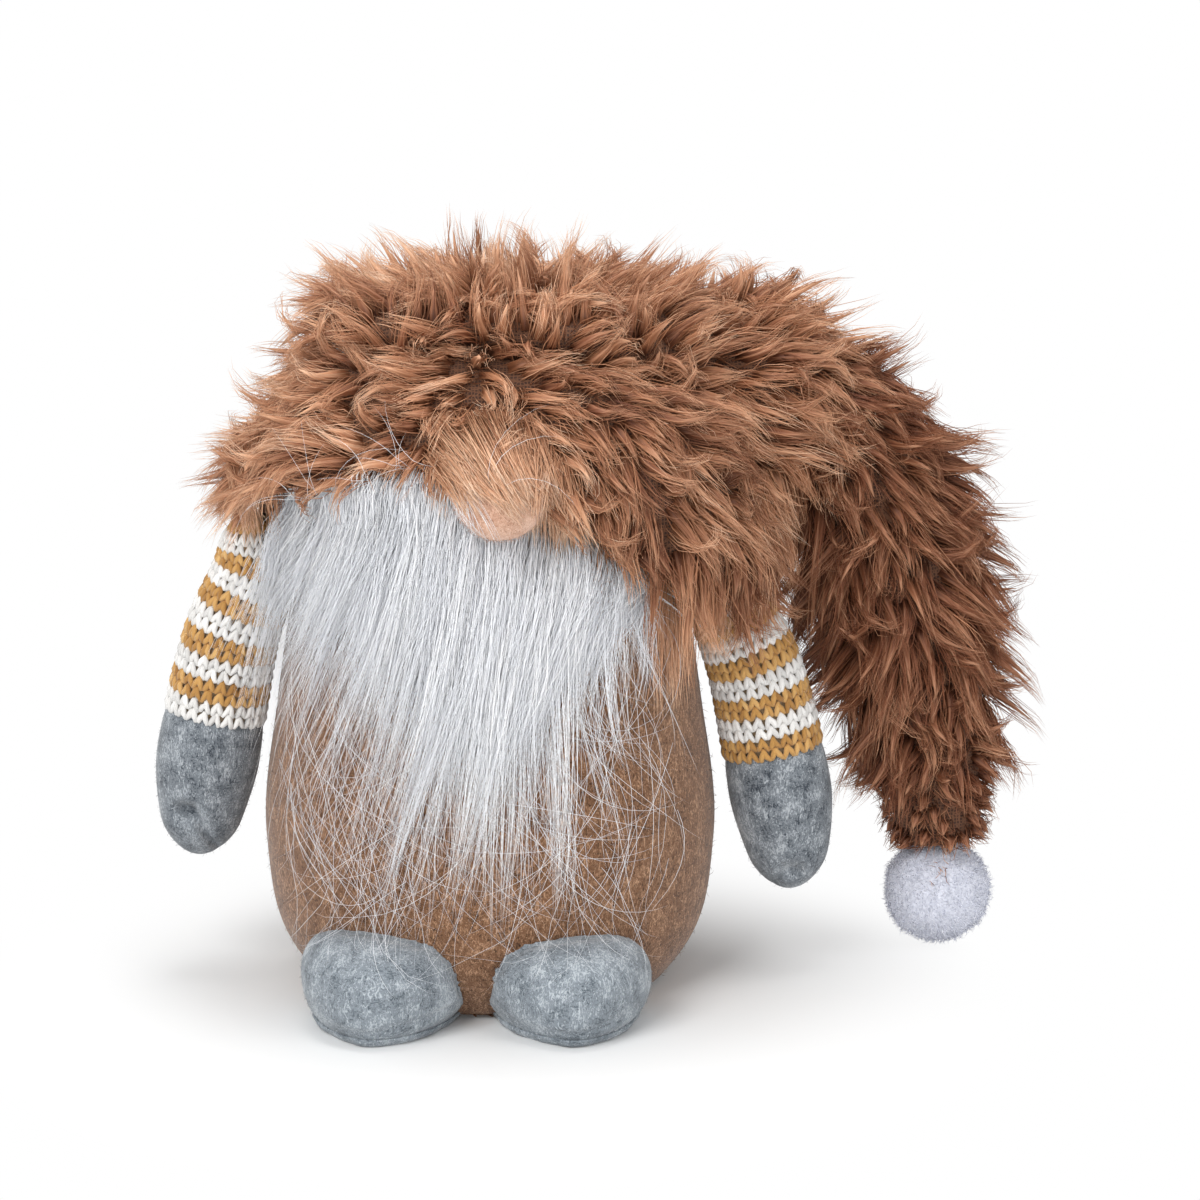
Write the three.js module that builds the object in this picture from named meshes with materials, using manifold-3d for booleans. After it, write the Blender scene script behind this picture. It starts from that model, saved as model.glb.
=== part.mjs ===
import * as THREE from "three";
import { mergeVertices } from "three/addons/utils/BufferGeometryUtils.js";
import Module from "manifold-3d";

// Stuffed elf figurine: a felt sack body on a weighted base, knitted arms, felt mittens and feet,
// a long beard, a ball nose and a floppy fur hat whose tail ends in a pompom.
// Millimetres, +Z up, the face towards -Y, the origin in the middle of the flat base.
// Left and right are the figure's own, so its left hand is at +X.

// Cloth thicknesses, and the gap between two pieces that are sewn or stuffed together
const FELT = 1.6;
const KNIT = 1.8;
const SEAM_GAP = 0.3;

// Body sack: a flat base, a belly, and a head dome that the hat covers
const BASE_RADIUS = 43;
const BASE_SEAM_RADIUS = 50;
const BASE_SEAM_HEIGHT = 9;
const BELLY_RADIUS = 56.5;
const BELLY_HEIGHT = 36;
const CHEST_RADIUS = 53;
const CHEST_HEIGHT = 74;
const HEAD_RADIUS = 46;
const HEAD_HEIGHT = 118;
const BODY_HEIGHT = 166;
const BODY_DEPTH_SHARE = 0.86;

// Bag of pellets that weights the base
const BAG_RADIUS = 34;
const BAG_HEIGHT = 18;
const BAG_FLATNESS = 0.6;
const BAG_STEPS = 9;

// Arms: a knitted sleeve hung at the shoulder, and a felt mitten sewn to its cuff
const SHOULDER_RADIUS = 10;
const CUFF_RADIUS = 12.5;
const MITTEN_RADIUS = 13;
const FINGER_RADIUS = 9.5;
const SLEEVE_LENGTH = 43;
const MITTEN_LENGTH = 36;
const CUFF_LEAN = 12;
const FINGER_LEAN = 16;
const ELBOW_LEAN_SHARE = 0.6;
const PALM_LEAN_SHARE = 0.7;
const PALM_PLACE_SHARE = 0.35;
const KNUCKLE_PLACE_SHARE = 0.75;
const ARM_DEPTH_SHARE = 0.9;
const ARM_STEPS = 6;
const ARM_END_STEPS = 3;
const RIGHT_SHOULDER_HEIGHT = 110;
const LEFT_SHOULDER_HEIGHT = 101;

// Feet: stuffed pads that swell over a smaller sole, to which they are sewn in a thin lip
const FOOT_WIDTH = 41;
const FOOT_LENGTH = 26.5;
const FOOT_HEIGHT = 25;
const FOOT_SWELL_HEIGHT = 10;
const FOOT_TUCK = 0.14;
const FOOT_SPACING = 45;
const FOOT_SHIFT = -2.8;
const FOOT_BACK = 36;
const FOOT_TURN = THREE.MathUtils.degToRad(7);
const FOOT_LIP = 0.4;
const FOOT_FULLNESS = 2.2;
const FOOT_STEPS = 9;
const FOOT_TOP_SHARE = 1.06;

// Beard: a pile backing sewn to the face, and the free hair that hangs from it along a slanted line
const BACKING_THICKNESS = 4.5;
const BACKING_HALF_WIDTH = 37;
const BACKING_TOP = 141;
const BACKING_FACETS = [10, 4];
const BEARD_SHIFT = -3;
const BEARD_HALF_WIDTH = 41;
const BEARD_TOP = 110;
const BEARD_SLANT = -0.31;
const BEARD_RIGHT_LENGTH = 38;
const BEARD_LEFT_LENGTH = 20;
const BEARD_SIDE_GAP = 2;
const BEARD_LENGTH = 57;
const BEARD_THICKNESS = 9;
const BEARD_EDGE = 2.5;
const BEARD_TAPER = 0.4;
const BEARD_ROOT_SHARE = 0.5;
const BEARD_FULL_PLACE = 0.25;
const BEARD_FACETS = [12, 9];

// Nose
const NOSE_RADIUS = 11.5;
const NOSE_SINK_SHARE = 0.75;
const NOSE_SHIFT = 4;
const NOSE_HEIGHT = 135.5;

// Hat crown: cloth with the dense part of its pile, over which the tips of the locks stand out, on a
// tilted rim. The rim heights go round by eighths of a turn from the figure's left by its back, its
// right and its face.
const HAT_RISE = 17;
const HAT_TOP = BODY_HEIGHT + HAT_RISE;
const RIM_HEIGHTS = [102, 101, 105, 112, 122, 134, 137, 111];
const PILE_WALL = 10;
const BAND_WALL = 17;
const RIM_WALL = 4;
const RIM_DROP = 12;
const WALL_DEPTH_SHARE = 0.75;
const HEAD_SHIFT_SHARE = 0.3;
// Rise from the rim to the top, sideways shift, half width and half depth of each section
const CROWN_SECTIONS = [
  [0, 4, 71, 53],
  [0.08, 4, 73, 55],
  [0.3, 7, 70, 55],
  [0.55, 10, 65, 51],
  [0.76, 8, 57, 44],
  [0.9, 8, 54, 39],
  [0.975, 8, 41, 29],
  [0.998, 8, 18, 12],
];
const FOLD_COUNT = 5;
const FOLD_DEPTH = 2.4;
const FOLD_TWIST = 2;
const CREASE_RISE = 0.74;
const CREASE_BAND = 0.08;
const CREASE_DEPTH = 6;
const CREASE_TURN = THREE.MathUtils.degToRad(245);
const CROWN_STEPS = 12;
// The crown's wall at shares of its rise
const CROWN_WALLS = [
  [0, RIM_WALL],
  [0.15, (RIM_WALL + BAND_WALL) / 2],
  [0.35, BAND_WALL],
  [0.7, PILE_WALL],
  [1, PILE_WALL],
];

// Hat bend: the rounded end of the crown over which the tail folds
const BEND = new THREE.Vector3(62, 10, 148);
const BEND_RADIUS = 31;

// How far the jointed pieces turn, in degrees
const TAIL_LIFT = 60;
const POMPOM_SWING = 25;
const TURN_STEPS = 6;

// Hat tail: its centre line past the bend as shares of the way to the hem, and its radius with the
// dense part of the pile at shares of its length
const TAIL_X = 115;
const TAIL_Y = 20;
const TAIL_BENDS = [
  [0.44, 0.5, 0.08],
  [0.68, 0.85, 0.27],
  [0.83, 1, 0.5],
  [0.94, 1, 0.76],
  [1, 1, 1],
];
const TAIL_ROOT_RADIUS = 22;
const TAIL_UPPER_RADIUS = 23.5;
const TAIL_FULL_RADIUS = 24.5;
const TAIL_LOW_RADIUS = 17.5;
const TAIL_NECK_RADIUS = 12;
const TAIL_DEPTH_SHARE = 0.95;
const HEM_RADIUS = 10.5;
const HEM_HEIGHT = 30;
const TAIL_FOLD_COUNT = 4;
const TAIL_FOLD_DEPTH = 1.2;
const TAIL_FOLD_TWIST = 3;
const TAIL_STEPS = 14;
const TAIL_RADII = [
  [0, TAIL_ROOT_RADIUS],
  [0.3, TAIL_UPPER_RADIUS],
  [0.5, TAIL_FULL_RADIUS],
  [0.78, TAIL_LOW_RADIUS],
  [0.93, TAIL_NECK_RADIUS],
  [1, HEM_RADIUS],
];

// Pompom on its thread, which passes into a hole in the hem
const POMPOM_RADIUS = 14.2;
const THREAD_RADIUS = 0.8;
const THREAD_SINK = 4;
const THREAD_RISE = 3;
const HEM_HOLE_RADIUS = 2.6;
const HEM_HOLE_DEPTH = 5;
const SWING_RISE = 1;
const SWING_STOPS = [-1, -0.5, 0, 0.5, 1];

// Facets round a large, a middling and a small form
const MANY = 32;
const SOME = 20;
const FEW = 10;
const SIDE_STEPS = 10;
const DOME_STEPS = 5;

// The least distance between two rings of a form, the least radius of a ring, how far a cut goes past
// the face that it opens, and half the side of a block that reaches past the whole figurine
const LEAST_STEP = 1;
const LEAST_RADIUS = 1;
const CUT_PAST = 1;
const BEYOND = 400;

const wasm = await Module();
wasm.setup();
const { degToRad, lerp, clamp } = THREE.MathUtils;
const range = (count) => Array.from({ length: count }, (_, k) => k);

// A closed three.js geometry as a solid that can be joined and cut.
function solid(geometry) {
  const bare = new THREE.BufferGeometry();
  bare.setAttribute("position", geometry.getAttribute("position"));
  if (geometry.index) bare.setIndex(geometry.index);
  const merged = mergeVertices(bare, 1e-4);
  const corners = merged.index.array;
  const triangles = [];
  for (let i = 0; i < corners.length; i += 3) {
    const [a, b, c] = corners.slice(i, i + 3);
    if (a !== b && b !== c && c !== a) triangles.push(a, b, c);
  }
  return new wasm.Manifold(
    new wasm.Mesh({
      numProp: 3,
      vertProperties: merged.attributes.position.array,
      triVerts: new Uint32Array(triangles),
    }),
  );
}

// The geometry of a solid.
function geometryOf(body) {
  const mesh = body.getMesh();
  const geometry = new THREE.BufferGeometry();
  geometry.setAttribute("position", new THREE.BufferAttribute(mesh.vertProperties, 3));
  geometry.setIndex(new THREE.BufferAttribute(mesh.triVerts, 1));
  geometry.computeVertexNormals();
  return geometry;
}

// A smooth function through rows of [place, value, value...]. It gives the values as a list.
function through(rows) {
  const places = rows.map((row) => row[0]);
  const values = rows.flatMap((row) => row.slice(1));
  const spline = new THREE.CubicInterpolant(places, values, rows[0].length - 1);
  return (place) => Array.from(spline.evaluate(place));
}

// A closed skin over rings of equal count that turn anticlockwise about the way they go. The ends
// are fans, or strips across rings that run out along one side and back along the other.
function loft(rings, stripEnds = false) {
  const count = rings[0].length;
  const points = rings.flat();
  const faces = [];
  for (const level of range(rings.length - 1)) {
    for (const j of range(count)) {
      const a = level * count + j;
      const b = level * count + ((j + 1) % count);
      faces.push(a, b, b + count, a, b + count, a + count);
    }
  }
  const last = points.length - count;
  if (stripEnds) {
    for (const j of range(count / 2 - 1)) {
      const [a, b, c, d] = [j, j + 1, count - 2 - j, count - 1 - j];
      faces.push(a, d, c, a, c, b, last + a, last + b, last + c, last + a, last + c, last + d);
    }
    return new THREE.BufferGeometry().setFromPoints(points).setIndex(faces);
  }
  const middle = (ring) => ring.reduce((sum, p) => sum.add(p), new THREE.Vector3()).divideScalar(count);
  const start = points.push(middle(rings[0])) - 1;
  const end = points.push(middle(rings[rings.length - 1])) - 1;
  for (const j of range(count)) {
    const k = (j + 1) % count;
    faces.push(start, k, j, end, last + j, last + k);
  }
  return new THREE.BufferGeometry().setFromPoints(points).setIndex(faces);
}

// A ring of points at height z: an ellipse at a fullness of 2, squarer above that.
function flatRing(x, y, z, halfWidth, halfDepth, count, fullness = 2) {
  return range(count).map((j) => {
    const angle = (j / count) * 2 * Math.PI;
    const squared = (value) => Math.sign(value) * Math.abs(value) ** (2 / fullness);
    return new THREE.Vector3(
      x + halfWidth * squared(Math.cos(angle)),
      y + halfDepth * squared(Math.sin(angle)),
      z,
    );
  });
}

// A block between two corners.
function block(low, high) {
  const size = new THREE.Vector3().subVectors(high, low);
  const geometry = new THREE.BoxGeometry(size.x, size.y, size.z);
  return solid(geometry.translate(...new THREE.Vector3().addVectors(low, high).divideScalar(2)));
}

// A ball.
function ball(centre, radius, facets) {
  const geometry = new THREE.SphereGeometry(radius, facets, facets / 2);
  return solid(geometry.rotateX(Math.PI / 2).translate(centre.x, centre.y, centre.z));
}

// All the places that a body passes as it turns about an axis through a centre, between two angles.
function turnedThrough(body, centre, axis, from, to) {
  const turned = range(TURN_STEPS + 1).map((k) => {
    const geometry = geometryOf(body).translate(-centre.x, -centre.y, -centre.z);
    const turn = new THREE.Matrix4().makeRotationAxis(axis, degToRad(lerp(from, to, k / TURN_STEPS)));
    return solid(geometry.applyMatrix4(turn).translate(centre.x, centre.y, centre.z));
  });
  return turned.reduce((all, next) => all.add(next));
}

// Places along a rounded end, from its tip inwards.
function roundEnd(radius, steps) {
  return range(steps).map((k) => radius * (1 - Math.cos((((k + 0.5) / steps) * Math.PI) / 2)));
}

// How much of its full radius a rounded end has at a distance from its tip.
function endShare(distance, radius) {
  return Math.sqrt(Math.max(0, 1 - (1 - clamp(distance / radius, 0, 1)) ** 2));
}

// Body sack
const sideRadius = through([
  [0, BASE_RADIUS],
  [BASE_SEAM_HEIGHT, BASE_SEAM_RADIUS],
  [BELLY_HEIGHT, BELLY_RADIUS],
  [CHEST_HEIGHT, CHEST_RADIUS],
  [HEAD_HEIGHT, HEAD_RADIUS],
]);

function sackRadius(height) {
  if (height < HEAD_HEIGHT) return sideRadius(Math.max(height, 0))[0];
  const share = Math.min((height - HEAD_HEIGHT) / (BODY_HEIGHT - HEAD_HEIGHT), 1);
  return HEAD_RADIUS * Math.sqrt(1 - share ** 2);
}

// The slope of the sack's side at a height.
function sackSlope(height) {
  const from = Math.max(height, 0);
  return (sackRadius(from + FELT / 8) - sackRadius(from)) / (FELT / 8);
}

// The sack's radius near its foot, its skin moved inwards by inset.
function footRadius(height, inset) {
  return sackRadius(height) - inset * Math.hypot(1, sackSlope(height));
}

// The sack turned about its axis, its skin moved inwards by inset, and its foot at the height floor.
function sack(inset, floor, facets = MANY) {
  const side = range(SIDE_STEPS).map((k) => (k / SIDE_STEPS) * HEAD_HEIGHT);
  const dome = roundEnd(BODY_HEIGHT - HEAD_HEIGHT, DOME_STEPS).map((d) => BODY_HEIGHT - d).reverse();
  const skin = [...side, ...dome].map((z) => {
    const slope = sackSlope(z);
    const length = Math.hypot(1, slope);
    return new THREE.Vector2(sackRadius(z) - inset / length, z + (inset * slope) / length);
  });
  const above = skin.filter((p) => p.y > floor + FELT);
  const foot = new THREE.Vector2(footRadius(floor, inset), floor);
  const profile = [new THREE.Vector2(0, floor), foot, ...above, new THREE.Vector2(0, BODY_HEIGHT - inset)];
  const geometry = new THREE.LatheGeometry(profile, facets).rotateX(Math.PI / 2);
  return solid(geometry.scale(1, BODY_DEPTH_SHARE, 1));
}

const sackClearance = sack(-SEAM_GAP, -FELT);
const sackShell = sack(0, 0).subtract(sack(FELT, -FELT));
const bodyFront = sackShell.intersect(
  block(new THREE.Vector3(-BEYOND, -BEYOND, -BEYOND), new THREE.Vector3(BEYOND, -SEAM_GAP / 2, BEYOND)),
);
const bodyBack = sackShell.intersect(
  block(new THREE.Vector3(-BEYOND, SEAM_GAP / 2, -BEYOND), new THREE.Vector3(BEYOND, BEYOND, BEYOND)),
);

const baseDiscRadius = footRadius(0, FELT + SEAM_GAP);
const baseDisc = loft(
  [0, FELT].map((z) => flatRing(0, 0, z, baseDiscRadius, baseDiscRadius * BODY_DEPTH_SHARE, MANY)),
);

// Pellet bag on the base, and the filling round and over it
const fillFloor = FELT + SEAM_GAP;

function bag(grow) {
  const half = BAG_HEIGHT / 2 + grow;
  const rings = range(BAG_STEPS).map((k) => {
    const angle = lerp(-1, 1, (k + 0.5) / BAG_STEPS) * (Math.PI / 2);
    const radius = (BAG_RADIUS + grow) * Math.cos(angle) ** BAG_FLATNESS;
    const z = fillFloor + BAG_HEIGHT / 2 + half * Math.sin(angle);
    return flatRing(0, 0, z, radius, radius * BODY_DEPTH_SHARE, SOME);
  });
  return solid(loft(rings));
}

const bodyFilling = sack(FELT + 3 * SEAM_GAP, fillFloor, SOME).subtract(bag(SEAM_GAP));

// A limb whose round sections follow a curve in an upright plane. radiusAt gives a section's radius.
function limb(curve, places, radiusAt, depthShare, facets) {
  const length = curve.getLength();
  const depth = new THREE.Vector3(0, 1, 0);
  const rings = places.map((place) => {
    const share = clamp(place / length, 0, 1);
    const along = curve.getTangentAt(share);
    const across = new THREE.Vector3().crossVectors(depth, along).normalize();
    const centre = curve.getPointAt(share);
    return range(facets).map((j) => {
      const angle = (j / facets) * 2 * Math.PI;
      const radius = radiusAt(place, angle);
      return centre
        .clone()
        .addScaledVector(across, radius * Math.cos(angle))
        .addScaledVector(depth, radius * Math.sin(angle) * depthShare);
    });
  });
  return solid(loft(rings));
}

// Arms. Each hangs from a ball-shaped shoulder that lies on the side of the body. A part of one goes
// from one place along it to another, its skin moved inwards by wall.
function shoulderAt(side, height) {
  const out = sackRadius(height) + SEAM_GAP + SHOULDER_RADIUS;
  return new THREE.Vector3(side * out, 0, height);
}

function armPieces(side, height) {
  const shoulder = shoulderAt(side, height);
  const stop = (out, down) => shoulder.clone().add(new THREE.Vector3(side * out, 0, -down));
  const curve = new THREE.CatmullRomCurve3([
    stop(0, -SHOULDER_RADIUS),
    stop(0, 0),
    stop(CUFF_LEAN * ELBOW_LEAN_SHARE, SLEEVE_LENGTH / 2),
    stop(CUFF_LEAN, SLEEVE_LENGTH),
    stop(lerp(CUFF_LEAN, FINGER_LEAN, PALM_LEAN_SHARE), SLEEVE_LENGTH + MITTEN_LENGTH / 2),
    stop(FINGER_LEAN, SLEEVE_LENGTH + MITTEN_LENGTH),
  ]);
  const length = curve.getLength();
  const sleeve = SHOULDER_RADIUS + SLEEVE_LENGTH;
  const cuff = length * (sleeve / (sleeve + MITTEN_LENGTH));
  const envelope = through([
    [0, SHOULDER_RADIUS],
    [SHOULDER_RADIUS, SHOULDER_RADIUS],
    [cuff * ELBOW_LEAN_SHARE, lerp(SHOULDER_RADIUS, CUFF_RADIUS, ELBOW_LEAN_SHARE)],
    [cuff, CUFF_RADIUS],
    [lerp(cuff, length, PALM_PLACE_SHARE), MITTEN_RADIUS],
    [lerp(cuff, length, KNUCKLE_PLACE_SHARE), (MITTEN_RADIUS + FINGER_RADIUS) / 2],
    [length, FINGER_RADIUS],
  ]);
  const radiusWith = (wall) => (place) =>
    (envelope(place)[0] - wall) *
    endShare(place - wall, SHOULDER_RADIUS - wall) *
    endShare(length - wall - place, FINGER_RADIUS - wall);
  const part = (wall, from, to) => {
    const places = [
      ...roundEnd(SHOULDER_RADIUS - wall, ARM_END_STEPS).map((d) => d + wall),
      ...range(ARM_STEPS + 1).map((k) => lerp(SHOULDER_RADIUS, length - FINGER_RADIUS, k / ARM_STEPS)),
      ...roundEnd(FINGER_RADIUS - wall, ARM_END_STEPS).map((d) => length - wall - d).reverse(),
    ].filter((place) => place > from + LEAST_STEP && place < to - LEAST_STEP);
    if (from > 0) places.unshift(from);
    if (to < length) places.push(to);
    return limb(curve, places, radiusWith(wall), ARM_DEPTH_SHARE, SOME);
  };
  const sleeveEnd = cuff - SEAM_GAP / 2;
  const mittenStart = cuff + SEAM_GAP / 2;
  const fillingWall = Math.max(KNIT, FELT) + SEAM_GAP;
  return {
    sleeve: part(0, -BEYOND, sleeveEnd).subtract(part(KNIT, -BEYOND, sleeveEnd + KNIT)),
    mitten: part(0, mittenStart, BEYOND).subtract(part(FELT, mittenStart - FELT, BEYOND)),
    filling: part(fillingWall, -BEYOND, BEYOND),
    room: ball(shoulder, SHOULDER_RADIUS + 3 * SEAM_GAP, SOME),
  };
}

const rightArm = armPieces(-1, RIGHT_SHOULDER_HEIGHT);
const leftArm = armPieces(1, LEFT_SHOULDER_HEIGHT);

// Feet, each turned a little outwards about its heel and cut to lie against the body
function footSkin(grow, bottom, x) {
  const halfWidth = FOOT_WIDTH / 2 + grow;
  const halfLength = FOOT_LENGTH + grow;
  const height = FOOT_HEIGHT + grow;
  const rings = range(FOOT_STEPS).map((k) => {
    const z = lerp(bottom, height, Math.sin((((k / FOOT_STEPS) * Math.PI) / 2) * FOOT_TOP_SHARE));
    const above = clamp((z - FOOT_SWELL_HEIGHT) / (height - FOOT_SWELL_HEIGHT), 0, 1);
    const below = clamp(1 - z / FOOT_SWELL_HEIGHT, 0, 1);
    const share = (1 - above ** FOOT_FULLNESS) ** (1 / FOOT_FULLNESS) - FOOT_TUCK * below ** 2;
    return flatRing(0, 0, z, halfWidth * share, halfLength * share, SOME);
  });
  const turn = Math.sign(x - FOOT_SHIFT) * FOOT_TURN;
  return solid(loft(rings).rotateZ(turn).translate(x, -FOOT_BACK, 0));
}

function footPieces(side) {
  const x = FOOT_SHIFT + (side * FOOT_SPACING) / 2;
  const behind = block(
    new THREE.Vector3(-BEYOND, -BASE_RADIUS / 2, -BEYOND),
    new THREE.Vector3(BEYOND, BEYOND, BEYOND),
  );
  const cut = (body) => body.subtract(sackClearance).subtract(behind);
  const plate = block(new THREE.Vector3(-BEYOND, -BEYOND, 0), new THREE.Vector3(BEYOND, BEYOND, FELT));
  const upper = footSkin(0, fillFloor, x).subtract(footSkin(-FELT, fillFloor - FELT, x));
  return {
    upper: cut(upper),
    sole: cut(footSkin(FOOT_LIP, -FELT, x).intersect(plate)),
    filling: cut(footSkin(-FELT - SEAM_GAP, fillFloor, x)),
  };
}

const rightFoot = footPieces(-1);
const leftFoot = footPieces(1);

// A slab that lies on the front of the body. place gives x and z over the slab, u across it from -1
// to 1 and v down it from 0 to 1, near its gap to the body, and thickness its depth there.
function frontSlab([across, down], place, near, thickness) {
  const onBody = (u, v, offset) => {
    const { x, z } = place(u, v);
    const radius = sackRadius(z);
    const y = -BODY_DEPTH_SHARE * Math.sqrt(Math.max(radius ** 2 - x ** 2, 0));
    const reach = offset * Math.hypot(1, sackSlope(z));
    const out = new THREE.Vector2(x, y / BODY_DEPTH_SHARE ** 2).setLength(reach);
    return new THREE.Vector3(x + out.x, y + out.y, z);
  };
  const rings = range(down + 1).map((i) => {
    const v = i / down;
    const uAt = (j) => lerp(-1, 1, j / across);
    const front = range(across + 1).map((j) => onBody(uAt(j), v, near(uAt(j)) + thickness(uAt(j), v)));
    const back = range(across + 1).map((j) => onBody(uAt(j), v, near(uAt(j)))).reverse();
    return [...front, ...back].reverse();
  });
  return solid(loft(rings, true)).subtract(sackClearance);
}

// The line from which the free beard hangs
const beardLine = (x) => BEARD_TOP + BEARD_SLANT * (x - BEARD_SHIFT);

const backingSlab = frontSlab(
  BACKING_FACETS,
  (u, v) => {
    const x = BEARD_SHIFT + u * BACKING_HALF_WIDTH;
    return { x, z: lerp(BACKING_TOP, beardLine(x) + SEAM_GAP, v) };
  },
  () => SEAM_GAP,
  (u) => lerp(BACKING_THICKNESS, BEARD_EDGE, u ** 4),
);

const beardHair = frontSlab(
  BEARD_FACETS,
  (u, v) => {
    const sideLength = u < 0 ? BEARD_RIGHT_LENGTH : BEARD_LEFT_LENGTH;
    const length = lerp(BEARD_LENGTH, sideLength, Math.abs(u) ** 1.5);
    const halfWidth = BEARD_HALF_WIDTH * (1 - BEARD_TAPER * v ** 3);
    const x = BEARD_SHIFT + u * halfWidth;
    return { x, z: beardLine(x) - SEAM_GAP - v * length };
  },
  (u) => lerp(SEAM_GAP, BEARD_SIDE_GAP, Math.abs(u) ** 3),
  (u, v) =>
    lerp(BEARD_THICKNESS, BEARD_EDGE, Math.max(u ** 2, v ** 3)) *
    lerp(BEARD_ROOT_SHARE, 1, Math.min(v / BEARD_FULL_PLACE, 1)),
);

// Nose, pressed into the pile of the backing
const noseSink = NOSE_SINK_SHARE * NOSE_RADIUS;
const faceFront = BODY_DEPTH_SHARE * sackRadius(NOSE_HEIGHT) + BACKING_THICKNESS;
const noseCentre = new THREE.Vector3(NOSE_SHIFT, -faceFront - noseSink, NOSE_HEIGHT);
const faceBelowPile = sack(-BACKING_THICKNESS / 2, 0, SOME);
const noseRoom = ball(noseCentre, NOSE_RADIUS + SEAM_GAP, SOME);
const nose = ball(noseCentre, NOSE_RADIUS, SOME).subtract(faceBelowPile);
const beardBacking = backingSlab.subtract(noseRoom.subtract(sack(SEAM_GAP - BACKING_THICKNESS / 2, 0, SOME)));

// Hat crown
const crownSection = through(CROWN_SECTIONS);
const rimCount = RIM_HEIGHTS.length;
const rimHeight = through(
  range(rimCount + 3).map((k) => [k - 1, RIM_HEIGHTS[(k - 1 + rimCount) % rimCount]]),
);

// A solid of the crown's outer form, drawn in by the wall and shifted back over the head, from its rim
// lowered by drop.
function crownForm(wallAt, shiftShare, drop) {
  const top = HAT_TOP - wallAt(1);
  const lastRise = CROWN_SECTIONS[CROWN_SECTIONS.length - 1][0];
  const rings = range(CROWN_STEPS + 1).map((k) => {
    const rise = lerp(0, lastRise, Math.sin(((k / CROWN_STEPS) * Math.PI) / 2));
    const [shift, halfWidth, halfDepth] = crownSection(rise);
    return range(MANY).map((j) => {
      const turn = (j / MANY) * 2 * Math.PI;
      const rim = rimHeight((j / MANY) * rimCount)[0] - drop;
      const inCrease = Math.exp(-(((rise - CREASE_RISE) / CREASE_BAND) ** 2));
      const crease = CREASE_DEPTH * inCrease * Math.max(0, Math.cos(turn - CREASE_TURN));
      const fold = FOLD_DEPTH * Math.sin(FOLD_COUNT * turn + FOLD_TWIST * rise) * Math.sin(Math.PI * rise);
      const dent = crease - fold;
      return new THREE.Vector3(
        shift * shiftShare + Math.max(halfWidth - wallAt(rise) - dent, LEAST_RADIUS) * Math.cos(turn),
        Math.max(halfDepth - wallAt(rise) * WALL_DEPTH_SHARE - dent, LEAST_RADIUS) * Math.sin(turn),
        lerp(rim, top, rise),
      );
    });
  });
  return solid(loft(rings));
}

const crownWall = through(CROWN_WALLS);
const crownCavity = (extra) =>
  crownForm((rise) => crownWall(rise)[0] + extra, HEAD_SHIFT_SHARE, RIM_DROP).add(
    ball(BEND, BEND_RADIUS - PILE_WALL - extra, SOME),
  );

// Hat tail, which caps the bend, turns down and narrows to the hem
const hem = new THREE.Vector3(TAIL_X, TAIL_Y, HEM_HEIGHT);
const tailBend = ([out, back, down]) =>
  new THREE.Vector3(lerp(BEND.x, hem.x, out), lerp(BEND.y, hem.y, back), lerp(BEND.z, hem.z, down));
const tailCurve = new THREE.CatmullRomCurve3([BEND.clone(), ...TAIL_BENDS.map(tailBend)]);
const tailLength = tailCurve.getLength();
const tailRadius = through(TAIL_RADII);

function tailForm(grow) {
  const places = range(TAIL_STEPS + 1).map((k) => (k / TAIL_STEPS) * tailLength);
  const radiusAt = (place, angle) => {
    const share = place / tailLength;
    const wave = Math.sin(TAIL_FOLD_COUNT * angle + TAIL_FOLD_TWIST * share);
    return tailRadius(share)[0] + TAIL_FOLD_DEPTH * wave * (1 - share) + grow;
  };
  return limb(tailCurve, places, radiusAt, TAIL_DEPTH_SHARE, SOME);
}

const backwards = new THREE.Vector3(0, 1, 0);
const bend = ball(BEND, BEND_RADIUS, MANY);
const tailRoom = turnedThrough(tailForm(3 * SEAM_GAP), BEND, backwards, 0, -TAIL_LIFT).subtract(bend);
const hatCrown = crownForm(() => 0, 1, 0)
  .add(bend)
  .subtract(crownCavity(0))
  .subtract(tailRoom)
  .subtract(sackClearance)
  .subtract(noseRoom)
  .subtract(rightArm.room)
  .subtract(leftArm.room);

// Filling that holds the crown up over the head
const crownFilling = crownCavity(SEAM_GAP)
  .intersect(
    block(
      new THREE.Vector3(-BEYOND, -BEYOND, BACKING_TOP + SEAM_GAP),
      new THREE.Vector3(BEYOND, BEYOND, BEYOND),
    ),
  )
  .subtract(sackClearance)
  .subtract(noseRoom);

// Pompom, which swings about the thread where it enters the hem
const pompomCentre = new THREE.Vector3(TAIL_X, TAIL_Y, HEM_HEIGHT - SEAM_GAP - POMPOM_RADIUS);
const swingPoint = new THREE.Vector3(TAIL_X, TAIL_Y, HEM_HEIGHT + SWING_RISE);

function rod(x, y, bottom, top, radius) {
  return solid(loft([bottom, top].map((z) => flatRing(x, y, z, radius, radius, FEW))));
}

const pompomTop = pompomCentre.z + POMPOM_RADIUS;
const threadHole = rod(
  TAIL_X,
  TAIL_Y,
  pompomTop - THREAD_SINK - SEAM_GAP,
  pompomTop + THREAD_SINK,
  THREAD_RADIUS + SEAM_GAP,
);
const pompom = ball(pompomCentre, POMPOM_RADIUS, SOME).subtract(threadHole);
const thread = rod(TAIL_X, TAIL_Y, pompomTop - THREAD_SINK, HEM_HEIGHT + THREAD_RISE, THREAD_RADIUS);

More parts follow.
